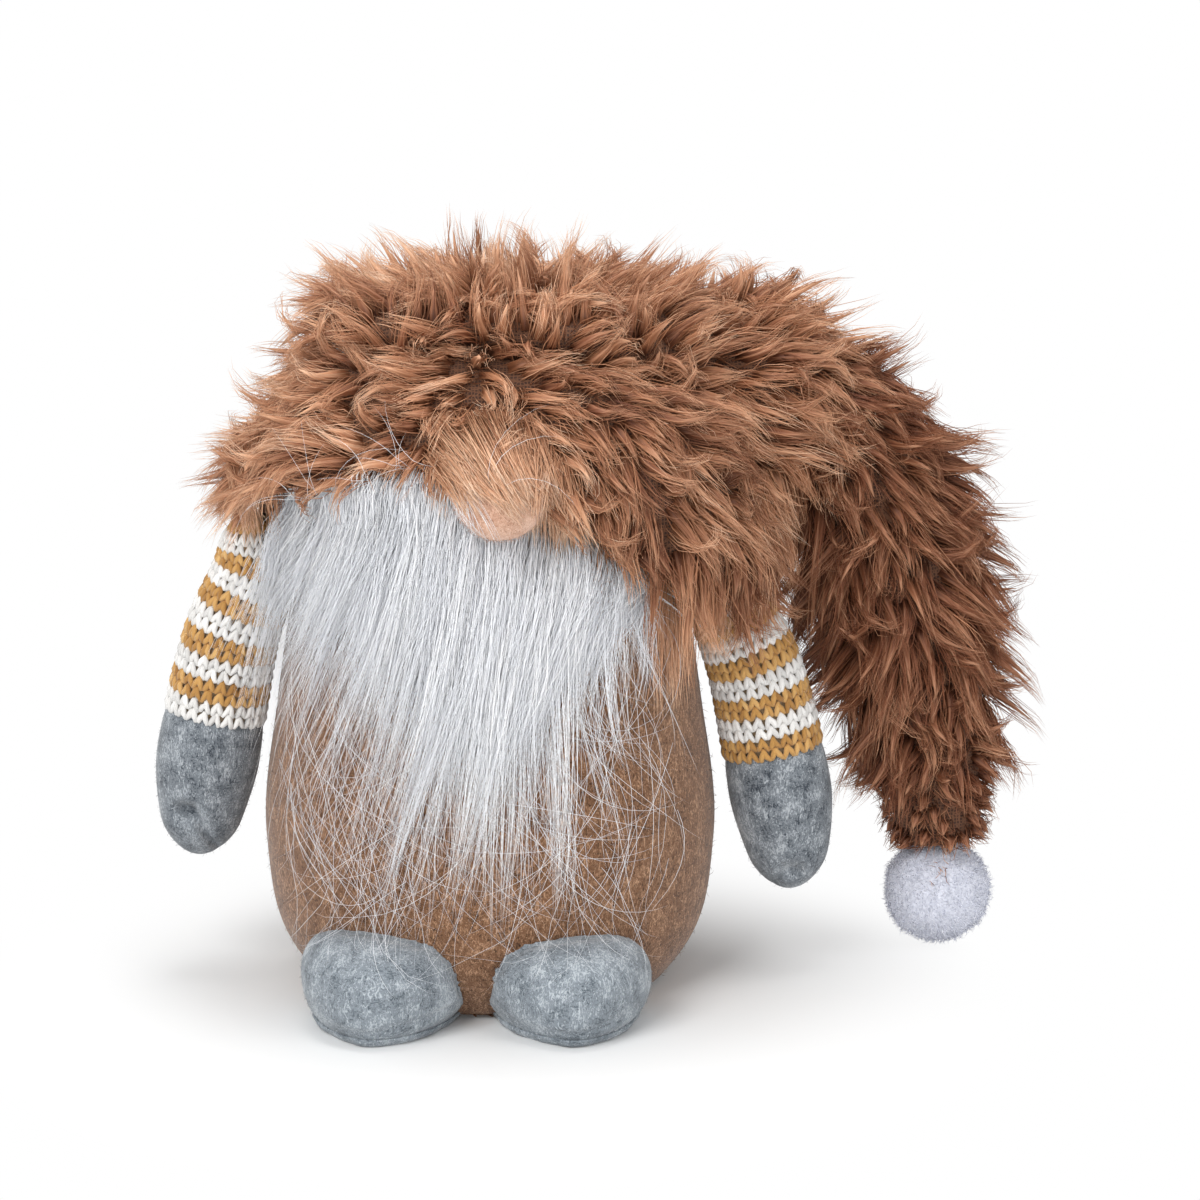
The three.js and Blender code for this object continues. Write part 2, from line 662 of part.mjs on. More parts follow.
let hatTail = tailForm(0)
  .subtract(ball(BEND, BEND_RADIUS + 1.5 * SEAM_GAP, MANY))
  .subtract(rod(TAIL_X, TAIL_Y, HEM_HEIGHT - CUT_PAST, HEM_HEIGHT + HEM_HOLE_DEPTH, HEM_HOLE_RADIUS));
for (const share of SWING_STOPS) {
  const swung = pompomCentre
    .clone()
    .sub(swingPoint)
    .applyAxisAngle(backwards, share * degToRad(POMPOM_SWING))
    .add(swingPoint);
  hatTail = hatTail.subtract(ball(swung, POMPOM_RADIUS + SEAM_GAP, SOME));
}

// Finishes
function finish(color, roughness) {
  return new THREE.MeshStandardMaterial({ color, roughness, metalness: 0 });
}

const brownFelt = finish("#967054", 0.95);
const greyFelt = finish("#8f979b", 0.95);
const brownFur = finish("#a87656", 0.8);
const whiteHair = finish("#e8eaee", 0.7);
const stripedKnit = finish("#e2cda2", 0.9);
const whiteFluff = finish("#dce0ee", 0.95);
const skinCloth = finish("#e0beac", 0.85);
const filling = finish("#f2f0ea", 1);
const pelletCloth = finish("#cfc6b4", 0.9);
const whiteThread = finish("#e6e4de", 0.9);

const figurine = new THREE.Group();

function add(name, body, material) {
  const geometry = body.isBufferGeometry ? body : geometryOf(body);
  const mesh = new THREE.Mesh(geometry, material);
  mesh.name = name;
  figurine.add(mesh);
}

add("body_front_panel", bodyFront, brownFelt);
add("body_back_panel", bodyBack, brownFelt);
add("base_disc", baseDisc, brownFelt);
add("body_stuffing", bodyFilling, filling);
add("weight_bag", bag(0), pelletCloth);
add("hat_crown", hatCrown, brownFur);
add("hat_stuffing", crownFilling, filling);
add("hat_tail", hatTail, brownFur);
add("pompom", pompom, whiteFluff);
add("pompom_thread", thread, whiteThread);
add("nose", nose, skinCloth);
add("beard_backing", beardBacking, whiteHair);
add("beard_hair", beardHair, whiteHair);

for (const [side, arm, foot] of [
  ["left", leftArm, leftFoot],
  ["right", rightArm, rightFoot],
]) {
  add(side + "_sleeve", arm.sleeve, stripedKnit);
  add(side + "_mitten", arm.mitten, greyFelt);
  add(side + "_arm_stuffing", arm.filling, filling);
  add(side + "_foot_upper", foot.upper, greyFelt);
  add(side + "_foot_sole", foot.sole, greyFelt);
  add(side + "_foot_stuffing", foot.filling, filling);
}

export default figurine;
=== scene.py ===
import math

import bmesh
import bpy
import numpy as np
from mathutils import Matrix, Vector, noise
from mathutils.bvhtree import BVHTree


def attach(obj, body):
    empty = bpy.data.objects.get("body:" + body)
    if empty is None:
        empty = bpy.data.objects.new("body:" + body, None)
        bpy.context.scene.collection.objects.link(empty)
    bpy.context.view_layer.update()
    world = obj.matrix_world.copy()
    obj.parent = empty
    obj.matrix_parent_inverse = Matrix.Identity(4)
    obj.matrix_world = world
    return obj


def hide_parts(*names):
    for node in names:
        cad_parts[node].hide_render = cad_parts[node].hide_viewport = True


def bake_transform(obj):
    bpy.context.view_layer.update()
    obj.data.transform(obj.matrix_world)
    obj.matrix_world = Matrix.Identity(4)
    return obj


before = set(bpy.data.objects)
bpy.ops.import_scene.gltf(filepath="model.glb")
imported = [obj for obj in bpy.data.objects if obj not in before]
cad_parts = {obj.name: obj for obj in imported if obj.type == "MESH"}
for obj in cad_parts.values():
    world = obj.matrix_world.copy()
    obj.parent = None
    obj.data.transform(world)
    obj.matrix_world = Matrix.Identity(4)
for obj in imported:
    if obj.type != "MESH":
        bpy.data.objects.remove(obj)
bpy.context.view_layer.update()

# Camera: 14 degrees above the figurine and straight in front of it, 1.1 m away with a long lens.
VIEW_TARGET = Vector((0.02775, 0, 0.0974))
VIEW_DISTANCE = 1.1
VIEW_ELEVATION = math.radians(14)
camera = bpy.data.objects.new("camera", bpy.data.cameras.new("camera"))
camera.data.lens = 132
camera.data.sensor_width = 36
view_back = Vector((0, -math.cos(VIEW_ELEVATION), math.sin(VIEW_ELEVATION)))
camera.location = VIEW_TARGET + VIEW_DISTANCE * view_back
camera.rotation_euler = view_back.to_track_quat("Z", "Y").to_euler()
bpy.context.scene.collection.objects.link(camera)
bpy.context.scene.camera = camera
bpy.context.scene.view_settings.view_transform = "Standard"


# Studio: a pale floor painted grey round the figurine as a soft painted shadow that fades into white, one
# large soft lamp from the upper left and a weaker one from the right, and an even white world round them.
class Wire:
    """A socket of a material's nodes. A sum written with wires adds its Math nodes."""

    def __init__(self, socket):
        self.socket = socket

    def node(self, kind, settings=None, inputs=None, output=0):
        made = self.socket.id_data.nodes.new("ShaderNode" + kind)
        for name, value in (settings or {}).items():
            if name == "stops":
                while len(made.color_ramp.elements) < len(value):
                    made.color_ramp.elements.new(1)
                for element, (place, colour) in zip(made.color_ramp.elements, value):
                    element.position = place
                    element.color = colour
            else:
                setattr(made, name, value)
        for name, value in (inputs or {}).items():
            if isinstance(value, Wire):
                self.socket.id_data.links.new(value.socket, made.inputs[name])
            else:
                made.inputs[name].default_value = value
        return Wire(made.outputs[output])

    def maths(self, operation, *values):
        return self.node("Math", {"operation": operation}, dict(enumerate(values)))

    def __add__(self, other):
        return self.maths("ADD", self, other)

    def __radd__(self, other):
        return self.maths("ADD", other, self)

    def __sub__(self, other):
        return self.maths("SUBTRACT", self, other)

    def __rsub__(self, other):
        return self.maths("SUBTRACT", other, self)

    def __mul__(self, other):
        return self.maths("MULTIPLY", self, other)

    def __rmul__(self, other):
        return self.maths("MULTIPLY", other, self)

    def __truediv__(self, other):
        return self.maths("DIVIDE", self, other)


def tint(red, green, blue):
    """A colour given in the 0 to 255 steps of a screen."""
    steps = (red / 255, green / 255, blue / 255)
    return (*(s / 12.92 if s < 0.04045 else ((s + 0.055) / 1.055) ** 2.4 for s in steps), 1)


def new_material(name, **uniform):
    """A material with one Principled shader, the shader's node, and a wire with the place on the object."""
    made = bpy.data.materials.new(name)
    made.use_nodes = True
    shader = next(n for n in made.node_tree.nodes if n.type == "BSDF_PRINCIPLED")
    for socket, value in uniform.items():
        shader.inputs[socket.replace("_", " ")].default_value = value
    place = Wire(made.node_tree.nodes.new("ShaderNodeTexCoord").outputs["Object"])
    return made, shader, place


def feed(shader, socket, wire):
    wire.socket.id_data.links.new(wire.socket, shader.inputs[socket])


def mixed(factor, first, second):
    """Two colours, or wires of them, mixed by a wire."""
    return factor.node("Mix", {"data_type": "RGBA"}, {0: factor, 6: first, 7: second}, 2)


def eased(wire, low, high):
    """0 below low, 1 above high, and smooth between."""
    ends = {"Value": wire, "From Min": low, "From Max": high}
    return wire.node("MapRange", {"interpolation_type": "SMOOTHSTEP"}, ends)


# The floor's grey near the figurine is a painted shadow; further out the camera sees plain white.
FLOOR_RADIUS = 1.6
PAINTED_SHADOW_FADE = (0.06, 0.135)
PAINTED_SHADOW_MIDDLE = (0, -0.02, 0)
PAINTED_SHADOW_GREY = (0.81, 0.815, 0.815, 1)
floor_form = bmesh.new()
bmesh.ops.create_circle(floor_form, segments=64, radius=FLOOR_RADIUS, cap_ends=True)
floor_mesh = bpy.data.meshes.new("studio_floor")
floor_form.to_mesh(floor_mesh)
floor = bpy.data.objects.new("studio_floor", floor_mesh)
bpy.context.scene.collection.objects.link(floor)
floor_cloth, floor_shader, floor_place = new_material("studio_floor", Base_Color=PAINTED_SHADOW_GREY, Roughness=0.9)
floor_shader.inputs["Specular IOR Level"].default_value = 0
floor_ends = {0: floor_place, 1: PAINTED_SHADOW_MIDDLE}
floor_distance = floor_place.node("VectorMath", {"operation": "DISTANCE"}, floor_ends, 1)
painted_shadow_fade = eased(floor_distance, *PAINTED_SHADOW_FADE)
white_light = floor_place.node("Emission", inputs={"Color": (1, 1, 1, 1)})
floor_seen = floor_place.node("LightPath", output=0) * painted_shadow_fade
floor_sides = {0: floor_seen, 1: Wire(floor_shader.outputs[0]), 2: white_light}
floor_mix = floor_place.node("MixShader", inputs=floor_sides)
floor_output = next(n for n in floor_cloth.node_tree.nodes if n.type == "OUTPUT_MATERIAL")
floor_cloth.node_tree.links.new(floor_mix.socket, floor_output.inputs["Surface"])
floor_mesh.materials.append(floor_cloth)

WORLD_STRENGTH = 0.55
world = bpy.data.worlds.new("studio")
world.use_nodes = True
bpy.context.scene.world = world
world_back = world.node_tree.nodes["Background"]
world_back.inputs["Color"].default_value = (1, 1, 1, 1)
world_path = Wire(world.node_tree.nodes.new("ShaderNodeLightPath").outputs["Is Camera Ray"])
world_path = world_path.maths("MAXIMUM", world_path, Wire(world_path.socket.node.outputs["Is Glossy Ray"]))
feed(world_back, "Strength", world_path * (1 - WORLD_STRENGTH) + WORLD_STRENGTH)


def soft_lamp(name, place, size, watts):
    lamp = bpy.data.objects.new(name, bpy.data.lights.new(name, "AREA"))
    lamp.data.size = size
    lamp.data.energy = watts
    lamp.location = place
    lamp.rotation_euler = (Vector(place) - VIEW_TARGET).to_track_quat("Z", "Y").to_euler()
    bpy.context.scene.collection.objects.link(lamp)


soft_lamp("lamp_upper_left", (-0.5, -0.8, 0.85), 0.6, 9)
soft_lamp("lamp_front", (0.1, -1.3, 0.2), 0.8, 4)
soft_lamp("lamp_right", (0.9, -0.6, 0.5), 0.6, 2.5)
soft_lamp("lamp_top", (0.05, 0.05, 1.1), 0.5, 5)

# Body sack: brown heathered felt in a front and a back panel, sewn right sides together down both
# sides so that each seam sinks in, gathered to a round head under the hat, and stuffed firmly.
MM = 0.001
FELT = 1.6
SEAM_GAP = 0.3
SACK_ROWS = ((0, 43), (9, 50), (36, 56.5), (74, 53), (118, 46))
HEAD_HEIGHT = 118
SACK_HEIGHT = 166
SACK_DEPTH_SHARE = 0.86
WALL_SHARE = 0.7
DOME_TURN = math.pi / 2 * 0.985
SEAM_ROUNDING = 0.7
BODY_SEED = 11


def unit(vectors):
    return vectors / np.maximum(np.linalg.norm(vectors, axis=-1, keepdims=True), 1e-12)


def smooth(rows, at):
    """The values of a smooth line through rows of a place and its values, at any places."""
    rows = np.array(rows, float)
    places, values = rows[:, 0], rows[:, 1:]
    slopes = np.gradient(values, places, axis=0)
    at = np.clip(np.asarray(at, float), places[0], places[-1])
    k = np.clip(np.searchsorted(places, at, side="right") - 1, 0, len(places) - 2)
    span = (places[k + 1] - places[k])[..., None]
    s = (at - places[k])[..., None] / span
    return (
        values[k] * (1 + 2 * s) * (1 - s) ** 2
        + values[k + 1] * s * s * (3 - 2 * s)
        + span * (slopes[k] * s * (1 - s) ** 2 + slopes[k + 1] * s * s * (s - 1))
    )


def sack_radius(z):
    """The sack's half width in millimetres at a height."""
    dome = np.clip((np.asarray(z, float) - HEAD_HEIGHT) / (SACK_HEIGHT - HEAD_HEIGHT), 0, 1)
    head = SACK_ROWS[-1][1] * np.sqrt(1 - dome**2)
    return np.where(dome > 0, head, smooth(SACK_ROWS, z)[..., 0])


def sack_point(turn, rise):
    """Points of the sack in millimetres, from its foot at a rise of 0 to its crown at 1."""
    dome = np.clip((rise - WALL_SHARE) / (1 - WALL_SHARE), 0, 1) * DOME_TURN
    z = np.minimum(rise / WALL_SHARE, 1) * HEAD_HEIGHT + (SACK_HEIGHT - HEAD_HEIGHT) * np.sin(dome)
    radius = sack_radius(z)
    return np.stack([radius * np.cos(turn), radius * SACK_DEPTH_SHARE * np.sin(turn), z], -1)


def link(name, form, *materials):
    """A new smooth-shaded object from a bmesh, which is used up."""
    mesh = bpy.data.meshes.new(name)
    form.to_mesh(mesh)
    form.free()
    mesh.polygons.foreach_set("use_smooth", np.ones(len(mesh.polygons), bool))
    for material in materials:
        mesh.materials.append(material)
    made = bpy.data.objects.new(name, mesh)
    bpy.context.scene.collection.objects.link(made)
    return made


def tube(steps, turns, shape, closed=()):
    """A skin made by drawing a circle up through steps levels, each point then going where
    shape(turn, rise) says, in millimetres. The ends named in closed, bottom or top, get a face."""
    form = bmesh.new()
    bmesh.ops.create_circle(form, segments=turns, radius=1)
    bottom = edges = form.edges[:]
    for _ in range(steps):
        made = bmesh.ops.extrude_edge_only(form, edges=edges)["geom"]
        level = {v for v in made if isinstance(v, bmesh.types.BMVert)}
        bmesh.ops.translate(form, verts=list(level), vec=(0, 0, 1))
        edges = [e for e in made if isinstance(e, bmesh.types.BMEdge) and set(e.verts) <= level]
    for end, ring in (("bottom", bottom), ("top", edges)):
        if end in closed:
            bmesh.ops.edgeloop_fill(form, edges=ring)
    at = np.array([v.co for v in form.verts])
    turn = np.mod(np.arctan2(at[:, 1], at[:, 0]), 2 * math.pi)
    for vert, place in zip(form.verts, shape(turn, at[:, 2] / steps) * MM):
        vert.co = place
    bmesh.ops.recalc_face_normals(form, faces=form.faces[:])
    return form


def sliced(form, place, facing):
    """Cuts off what lies behind a plane."""
    geom = form.verts[:] + form.edges[:] + form.faces[:]
    bmesh.ops.bisect_plane(form, geom=geom, plane_co=place, plane_no=facing, clear_inner=True)
    return form


def rounded(piece, width, angle):
    """Rounds the edges of a piece that are sharper than angle degrees."""
    edge = piece.modifiers.new("edge", "BEVEL")
    edge.width = width * MM
    edge.segments = 2
    edge.limit_method = "ANGLE"
    edge.angle_limit = math.radians(angle)


SIM_SCALE = 10
SIM_FRAMES = 20
SIM_PRESSURE = 4


def swollen(form, voxel, cap, held):
    """A stuffed form: a bmesh that cloth simulation blows up from inside, by at most cap millimetres.
    The voxel size is in millimetres, and held(place) says which points are sewn down."""
    made = link("swelling", form)
    mesh = made.data
    mesh.transform(Matrix.Scale(SIM_SCALE, 4))
    remesh = made.modifiers.new("even", "REMESH")
    remesh.mode = "VOXEL"
    remesh.voxel_size = voxel * MM * SIM_SCALE
    made.data = bpy.data.meshes.new_from_object(made.evaluated_get(bpy.context.evaluated_depsgraph_get()))
    made.modifiers.clear()
    bpy.data.meshes.remove(mesh)
    mesh = made.data
    rest = np.array([v.co for v in mesh.vertices])
    settled = rest
    sewn = made.vertex_groups.new(name="sewn")
    sewn.add([int(k) for k in np.flatnonzero(held(rest / SIM_SCALE / MM))], 1, "REPLACE")
    cloth = made.modifiers.new("swell", "CLOTH")
    cloth.settings.use_pressure = True
    cloth.settings.uniform_pressure_force = SIM_PRESSURE
    cloth.settings.vertex_group_mass = "sewn"
    cloth.settings.quality = 4
    cloth.settings.effector_weights.gravity = 0
    cloth.point_cache.frame_start = 1
    cloth.point_cache.frame_end = SIM_FRAMES
    for step in range(1, SIM_FRAMES + 1):
        bpy.context.scene.frame_set(step)
    swelled = made.evaluated_get(bpy.context.evaluated_depsgraph_get()).data
    settled = np.array([v.co for v in swelled.vertices])
    bpy.context.scene.frame_set(1)
    made.modifiers.clear()
    moved = settled - rest
    far = np.linalg.norm(moved, axis=1, keepdims=True)
    settled = rest + moved * np.minimum(1, cap * MM * SIM_SCALE / np.maximum(far, 1e-9))
    mesh.vertices.foreach_set("co", (settled / SIM_SCALE).ravel())
    form = bmesh.new()
    form.from_mesh(mesh)
    bpy.data.objects.remove(made)
    every_way = {"use_axis_x": True, "use_axis_y": True, "use_axis_z": True}
    bmesh.ops.smooth_vert(form, verts=form.verts[:], factor=0.5, **every_way)
    return form


def felt(name, dark, base, light, fleck=1.0, mottled=0.35):
    """Pressed wool felt: short fibres of several shades matted in every direction. fleck is the
    fibres' length in millimetres, mottled how far their shade drifts."""
    made, shader, place = new_material(name, Roughness=0.95, Specular_IOR_Level=0.15, Sheen_Weight=0.25)
    fine = 1000 / fleck

    def fibres(stretch, seed):
        lie = place.node("Mapping", {}, {"Vector": place, "Location": (seed, 0, 0), "Scale": stretch})
        return lie.node("TexNoise", {}, {"Vector": lie, "Scale": fine, "Detail": 2.0, "Distortion": 1.6})

    first = fibres((2.6, 0.7, 1.1), 0.1)
    second = fibres((0.7, 1.0, 2.6), 0.4)
    third = fibres((1.3, 2.4, 0.6), 0.7)
    patch = place.node("TexNoise", {}, {"Vector": place, "Scale": fine * 0.2, "Detail": 2.0})
    drift = (patch - 0.5) * mottled
    pale = eased(first.maths("MAXIMUM", first, third) + drift, 0.54, 0.72)
    deep = eased(second.maths("MAXIMUM", second, 1 - third) - drift, 0.54, 0.74)
    feed(shader, "Base Color", mixed(pale, mixed(deep, base, dark), light))
    height = first * 0.5 + second * 0.3 + third * 0.4
    bump = height.node("Bump", {}, {"Height": height, "Strength": 0.55, "Distance": 0.0005})
    feed(shader, "Normal", bump)
    return made


def fanned(mesh):
    """A mesh's faces as fans of triangles in millimetres, with its smooth normals at their corners. They
    are sorted by place, because bmesh can list the faces in another order at each run."""
    first = np.array([corner.vertex_index for corner in mesh.loops])
    sizes = np.array([face.loop_total for face in mesh.polygons])
    ends = np.cumsum(sizes)
    after = np.arange(1, len(first) + 1)
    after[ends - 1] = ends - sizes
    fans = []
    for values in ([v.co / MM for v in mesh.vertices], [v.normal for v in mesh.vertices]):
        at = np.array(values)[first]
        middle = np.add.reduceat(at, ends - sizes) / sizes[:, None]
        fans.append(np.stack([middle.repeat(sizes, 0), at, at[after]], 1))
    order = np.lexsort(np.round(fans[0].mean(1), 3).T)
    return fans[0][order], fans[1][order]


def scatter(mesh, spacing, rng):
    """Points spread evenly over a mesh, in millimetres, with the mesh's smooth normals."""
    corners, normals = fanned(mesh)
    a, b, c = np.moveaxis(corners, 1, 0)
    areas = np.linalg.norm(np.cross(b - a, c - a), axis=1) / 2
    wanted = int(areas.sum() / spacing**2 * 3)
    picked = rng.choice(len(areas), wanted, p=areas / areas.sum())
    u, v = rng.random((2, wanted))
    u, v = np.where(u + v > 1, 1 - u, u), np.where(u + v > 1, 1 - v, v)
    weights = np.stack([1 - u - v, u, v], 1)[:, :, None]
    places = (corners[picked] * weights).sum(1)
    facing = unit((normals[picked] * weights).sum(1))
    kept, cells = [], {}
    around = [(dx, dy, dz) for dx in (-1, 0, 1) for dy in (-1, 0, 1) for dz in (-1, 0, 1)]
    for index, place in enumerate(places):
        cell = (place // spacing).astype(int)
        near = [other for step in around for other in cells.get(tuple(cell + step), ())]
        if not near or ((places[near] - place) ** 2).sum(1).min() > (spacing * 0.82) ** 2:
            cells.setdefault(tuple(cell), []).append(index)
            kept.append(index)
    return places[kept], facing[kept]


def strands(name, paths, widths, tones, shares, material, sides=3, ribbed=0.0):
    """A piece of hair: each path in millimetres becomes a closed strand with sides faces round, as
    wide as widths, that ends in a point. Its tone and the share of its length are kept as a map. A
    ribbed one has a darker groove along every second edge."""
    count, levels, _ = paths.shape
    ahead = unit(np.gradient(paths, axis=1))
    lean = np.cross(ahead[:, :1], np.array((0.31, 0.87, 0.39))).repeat(levels, 1)
    side = unit(lean - ahead * (lean * ahead).sum(2, keepdims=True))
    cross = np.cross(ahead, side)
    angles = (np.arange(sides) / sides * 2 * math.pi)[:, None]
    groove = ribbed * (np.arange(sides) % 2)
    radii = (widths / 2)[:, : levels - 1, None, None] * (1 - groove)[:, None]
    round_it = side[:, : levels - 1, None] * np.cos(angles) + cross[:, : levels - 1, None] * np.sin(angles)
    rings = paths[:, : levels - 1, None] + radii * round_it
    each = sides * (levels - 1) + 1
    verts = np.concatenate([rings.reshape(count, -1, 3), paths[:, -1:]], 1)
    loops, starts = list(range(sides))[::-1], [0]
    for level in range(levels - 2):
        for k in range(sides):
            starts.append(len(loops))
            a, b = level * sides + k, level * sides + (k + 1) % sides
            loops += [a, b, b + sides, a + sides]
    for k in range(sides):
        starts.append(len(loops))
        loops += [(levels - 2) * sides + k, (levels - 2) * sides + (k + 1) % sides, each - 1]
    strand = np.arange(count)[:, None]
    mesh = bpy.data.meshes.new(name)
    mesh.vertices.add(count * each)
    mesh.vertices.foreach_set("co", (verts * MM).astype(np.float32).ravel())
    mesh.loops.add(count * len(loops))
    corners = np.array(loops)[None] + strand * each
    mesh.loops.foreach_set("vertex_index", corners.astype(np.int32).ravel())
    mesh.polygons.add(count * len(starts))
    firsts = np.array(starts)[None] + strand * len(loops)
    mesh.polygons.foreach_set("loop_start", firsts.astype(np.int32).ravel())
    mesh.update(calc_edges=True)
    mesh.polygons.foreach_set("use_smooth", np.ones(count * len(starts), bool))
    spread = np.r_[np.tile((np.arange(sides) / (sides - 1) - 0.5) * 0.012 - 0.6 * groove, levels - 1), 0]
    length = np.r_[np.repeat(shares[:-1], sides), 1]
    across = np.clip(tones[:, None] + spread[None], 0.004, 0.996)[:, loops]
    along = np.clip(length, 0.004, 0.996)[loops][None].repeat(count, 0)
    at = np.stack([across, along], 2).astype(np.float32).ravel()
    for layer in ("strand", "OFBake"):
        mesh.uv_layers.new(name=layer).uv.foreach_set("vector", at)
    mesh.materials.append(material)
    made = bpy.data.objects.new(name, mesh)
    bpy.context.scene.collection.objects.link(made)
    return made


def fibre(name, roots, middles, tips, **uniform):
    """A hair's finish, dark to light by its tone, and from its root by its middle to its tip."""
    made, shader, place = new_material(name, **uniform)
    at = place.node("UVMap", {"uv_map": "strand"})
    tone = at.node("SeparateXYZ", {}, {0: at})
    along = Wire(tone.socket.node.outputs[1])

    def toned(colours):
        stops = [(k / (len(colours) - 1), colour) for k, colour in enumerate(colours)]
        return tone.node("ValToRGB", {"stops": stops}, {0: tone})

    lower = mixed(eased(along, 0.05, 0.5), toned(roots), toned(middles))
    feed(shader, "Base Color", mixed(eased(along, 0.5, 0.95), lower, toned(tips)))
    return made


def shades(middle, spread, count, rng):
    """Tones from 0 to 1 for so many strands, scattered about a middle."""
    return np.clip(middle + spread * rng.normal(size=count), 0, 1)


def tapered(count, shares, width, rng, ease=1.6):
    """Widths along strands: nearly even, then narrowing to the tip."""
    return width * rng.uniform(0.7, 1.25, (count, 1)) * (1 - shares[None] ** ease * 0.85)


FUZZ_SHARES = np.array((0, 0.5, 1))


def fuzz(name, places, facing, length, width, material, rng, lift=0.6):
    """Short loose fibres that stand off a cloth."""
    lie = unit(np.cross(facing, rng.normal(size=places.shape)))
    lifts = (lift * rng.uniform(0.3, 1.4, len(places)))[:, None]
    reach = (length * rng.uniform(0.5, 1.5, len(places)))[:, None]
    middle = places + reach * 0.5 * (lie * np.cos(lifts) + facing * np.sin(lifts))
    ahead = lie * np.cos(lifts * 0.3) + facing * 0.2 + 0.5 * rng.normal(size=places.shape)
    tip = middle + reach * 0.5 * unit(ahead)
    paths = np.stack([places - facing * 0.1, middle, tip], 1)
    tones = rng.random(len(places))
    widths = tapered(len(places), FUZZ_SHARES, width, rng)
    return strands(name, paths, widths, tones, FUZZ_SHARES, material)


BROWN = (tint(50, 30, 18), tint(118, 84, 60), tint(180, 142, 112))
brown_felt = felt("brown_felt", *BROWN, fleck=1.1, mottled=0.2)
brown_fuzz = fibre("brown_fuzz", BROWN, BROWN, BROWN, Roughness=0.8)
sack_form = swollen(
    tube(44, 96, sack_point, ("bottom", "top")),
    voxel=1.8,
    cap=0.8,
    held=lambda at: (np.abs(at[:, 1]) < 2) | (at[:, 2] < 8),
)
sliced(sack_form, (0, 0, FELT * MM), (0, 0, 1))
sack_mesh = bpy.data.meshes.new("sack")
sack_form.to_mesh(sack_mesh)
sack_form.free()
body_rng = np.random.default_rng(BODY_SEED)
for panel, keep, node in (("front", -1, "body_front_panel"), ("back", 1, "body_back_panel")):
    half = bmesh.new()
    half.from_mesh(sack_mesh)
    sliced(half, (0, keep * SEAM_GAP * MM / 2, 0), (0, keep, 0))
    cloth = link(f"body_{panel}", half, brown_felt)
    cloth.modifiers.new("wall", "SOLIDIFY").thickness = FELT * MM
    rounded(cloth, SEAM_ROUNDING, 50)
    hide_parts(node)
    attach(cloth, "torso")
    places, facing = scatter(cloth.data, 3.4, body_rng)
    low = places[:, 2] < HEAD_HEIGHT + 10
    nap = fuzz(f"body_{panel}_nap", places[low], facing[low], 1.5, 0.1, brown_fuzz, body_rng)
    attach(nap, "torso")

# Base: a felt disc sewn into the foot of the sack with brown thread, on which the figurine stands.
# Over it lie a bag of pellets and the fibre filling that gives every stuffed part its form.
BASE_STITCHES = 64
STITCH_THREAD = 0.45
base_radius = SACK_ROWS[0][1] - FELT - SEAM_GAP
base_form = bmesh.new()
bmesh.ops.create_circle(base_form, segments=96, radius=(base_radius - 0.6) * MM, cap_ends=True)
bmesh.ops.inset_region(base_form, faces=base_form.faces[:], thickness=4 * MM, depth=0)
base_top = bmesh.ops.extrude_face_region(base_form, geom=base_form.faces[:])["geom"]
base_top = [v for v in base_top if isinstance(v, bmesh.types.BMVert)]
bmesh.ops.translate(base_form, verts=base_top, vec=(0, 0, FELT * MM))
bmesh.ops.scale(base_form, verts=base_form.verts[:], vec=(1, SACK_DEPTH_SHARE, 1))
bmesh.ops.recalc_face_normals(base_form, faces=base_form.faces[:])
base = link("base_felt", base_form, brown_felt)
rounded(base, 0.5, 30)
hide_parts("base_disc")
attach(base, "torso")
stitch_turn = np.arange(BASE_STITCHES) / BASE_STITCHES * 2 * math.pi


def on_base(share):
    """Where each seam stitch is at a share of its length, from the disc out to the sack's edge."""
    turn = stitch_turn + 0.035 * share
    radius = base_radius - 1.4 + 2.4 * share
    z = np.full_like(turn, 0.35 - 0.2 * math.sin(math.pi * share))
    return np.stack([radius * np.cos(turn), radius * SACK_DEPTH_SHARE * np.sin(turn), z], -1)


STITCH_SHARES = np.array((0, 0.25, 0.5, 0.75, 1))
stitch_paths = np.stack([on_base(share) for share in STITCH_SHARES], 1)
THREAD_BROWN = (tint(96, 64, 42), tint(134, 94, 66))
brown_thread = fibre("brown_thread", THREAD_BROWN, THREAD_BROWN, THREAD_BROWN, Roughness=0.6)
base_seam = strands(
    "base_seam",
    stitch_paths,
    np.full((BASE_STITCHES, len(STITCH_SHARES)), STITCH_THREAD),
    body_rng.random(BASE_STITCHES),
    STITCH_SHARES,
    brown_thread,
    sides=5,
)
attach(base_seam, "torso")


def textured(name, kind, texture, colours, strength, depth, **uniform):
    """A cloth whose colour and relief follow one texture: its name and values, and how deep it goes."""
    made, shader, place = new_material(name, **uniform)
    lumps = place.node(kind, {}, {"Vector": place, **texture})
    feed(shader, "Base Color", mixed(lumps, *colours))
    height = 1 - lumps if kind == "TexVoronoi" else lumps
    bump = height.node("Bump", {}, {"Height": height, "Strength": strength, "Distance": depth * MM})
    feed(shader, "Normal", bump)
    return made


FIBRE_WISPS = {"Scale": 420.0, "Detail": 5.0, "Distortion": 2.0}
FILLING = (tint(206, 208, 210), tint(246, 246, 244))
PELLETS = (tint(226, 222, 210), tint(186, 180, 166))
filling_finish = {"Roughness": 0.95, "Sheen_Weight": 0.3}
filling_cloth = textured("fibre_filling", "TexNoise", FIBRE_WISPS, FILLING, 0.8, 1, **filling_finish)
pellet_cloth = textured("pellet_cloth", "TexVoronoi", {"Scale": 260.0}, PELLETS, 0.9, 1, Roughness=0.8)


def under(cloth, top=math.inf):
    """Keeps a filling inside cloth that is drawn in further than the filling's solid, below a height."""
    inside = BVHTree.FromBMesh(cloth)

    def pressed(at):
        near, facing, _, _ = inside.find_nearest(at)
        return at - facing * max(0, (at - near).dot(facing) + 1.5 * MM) if at.z < top * MM else at

    return pressed


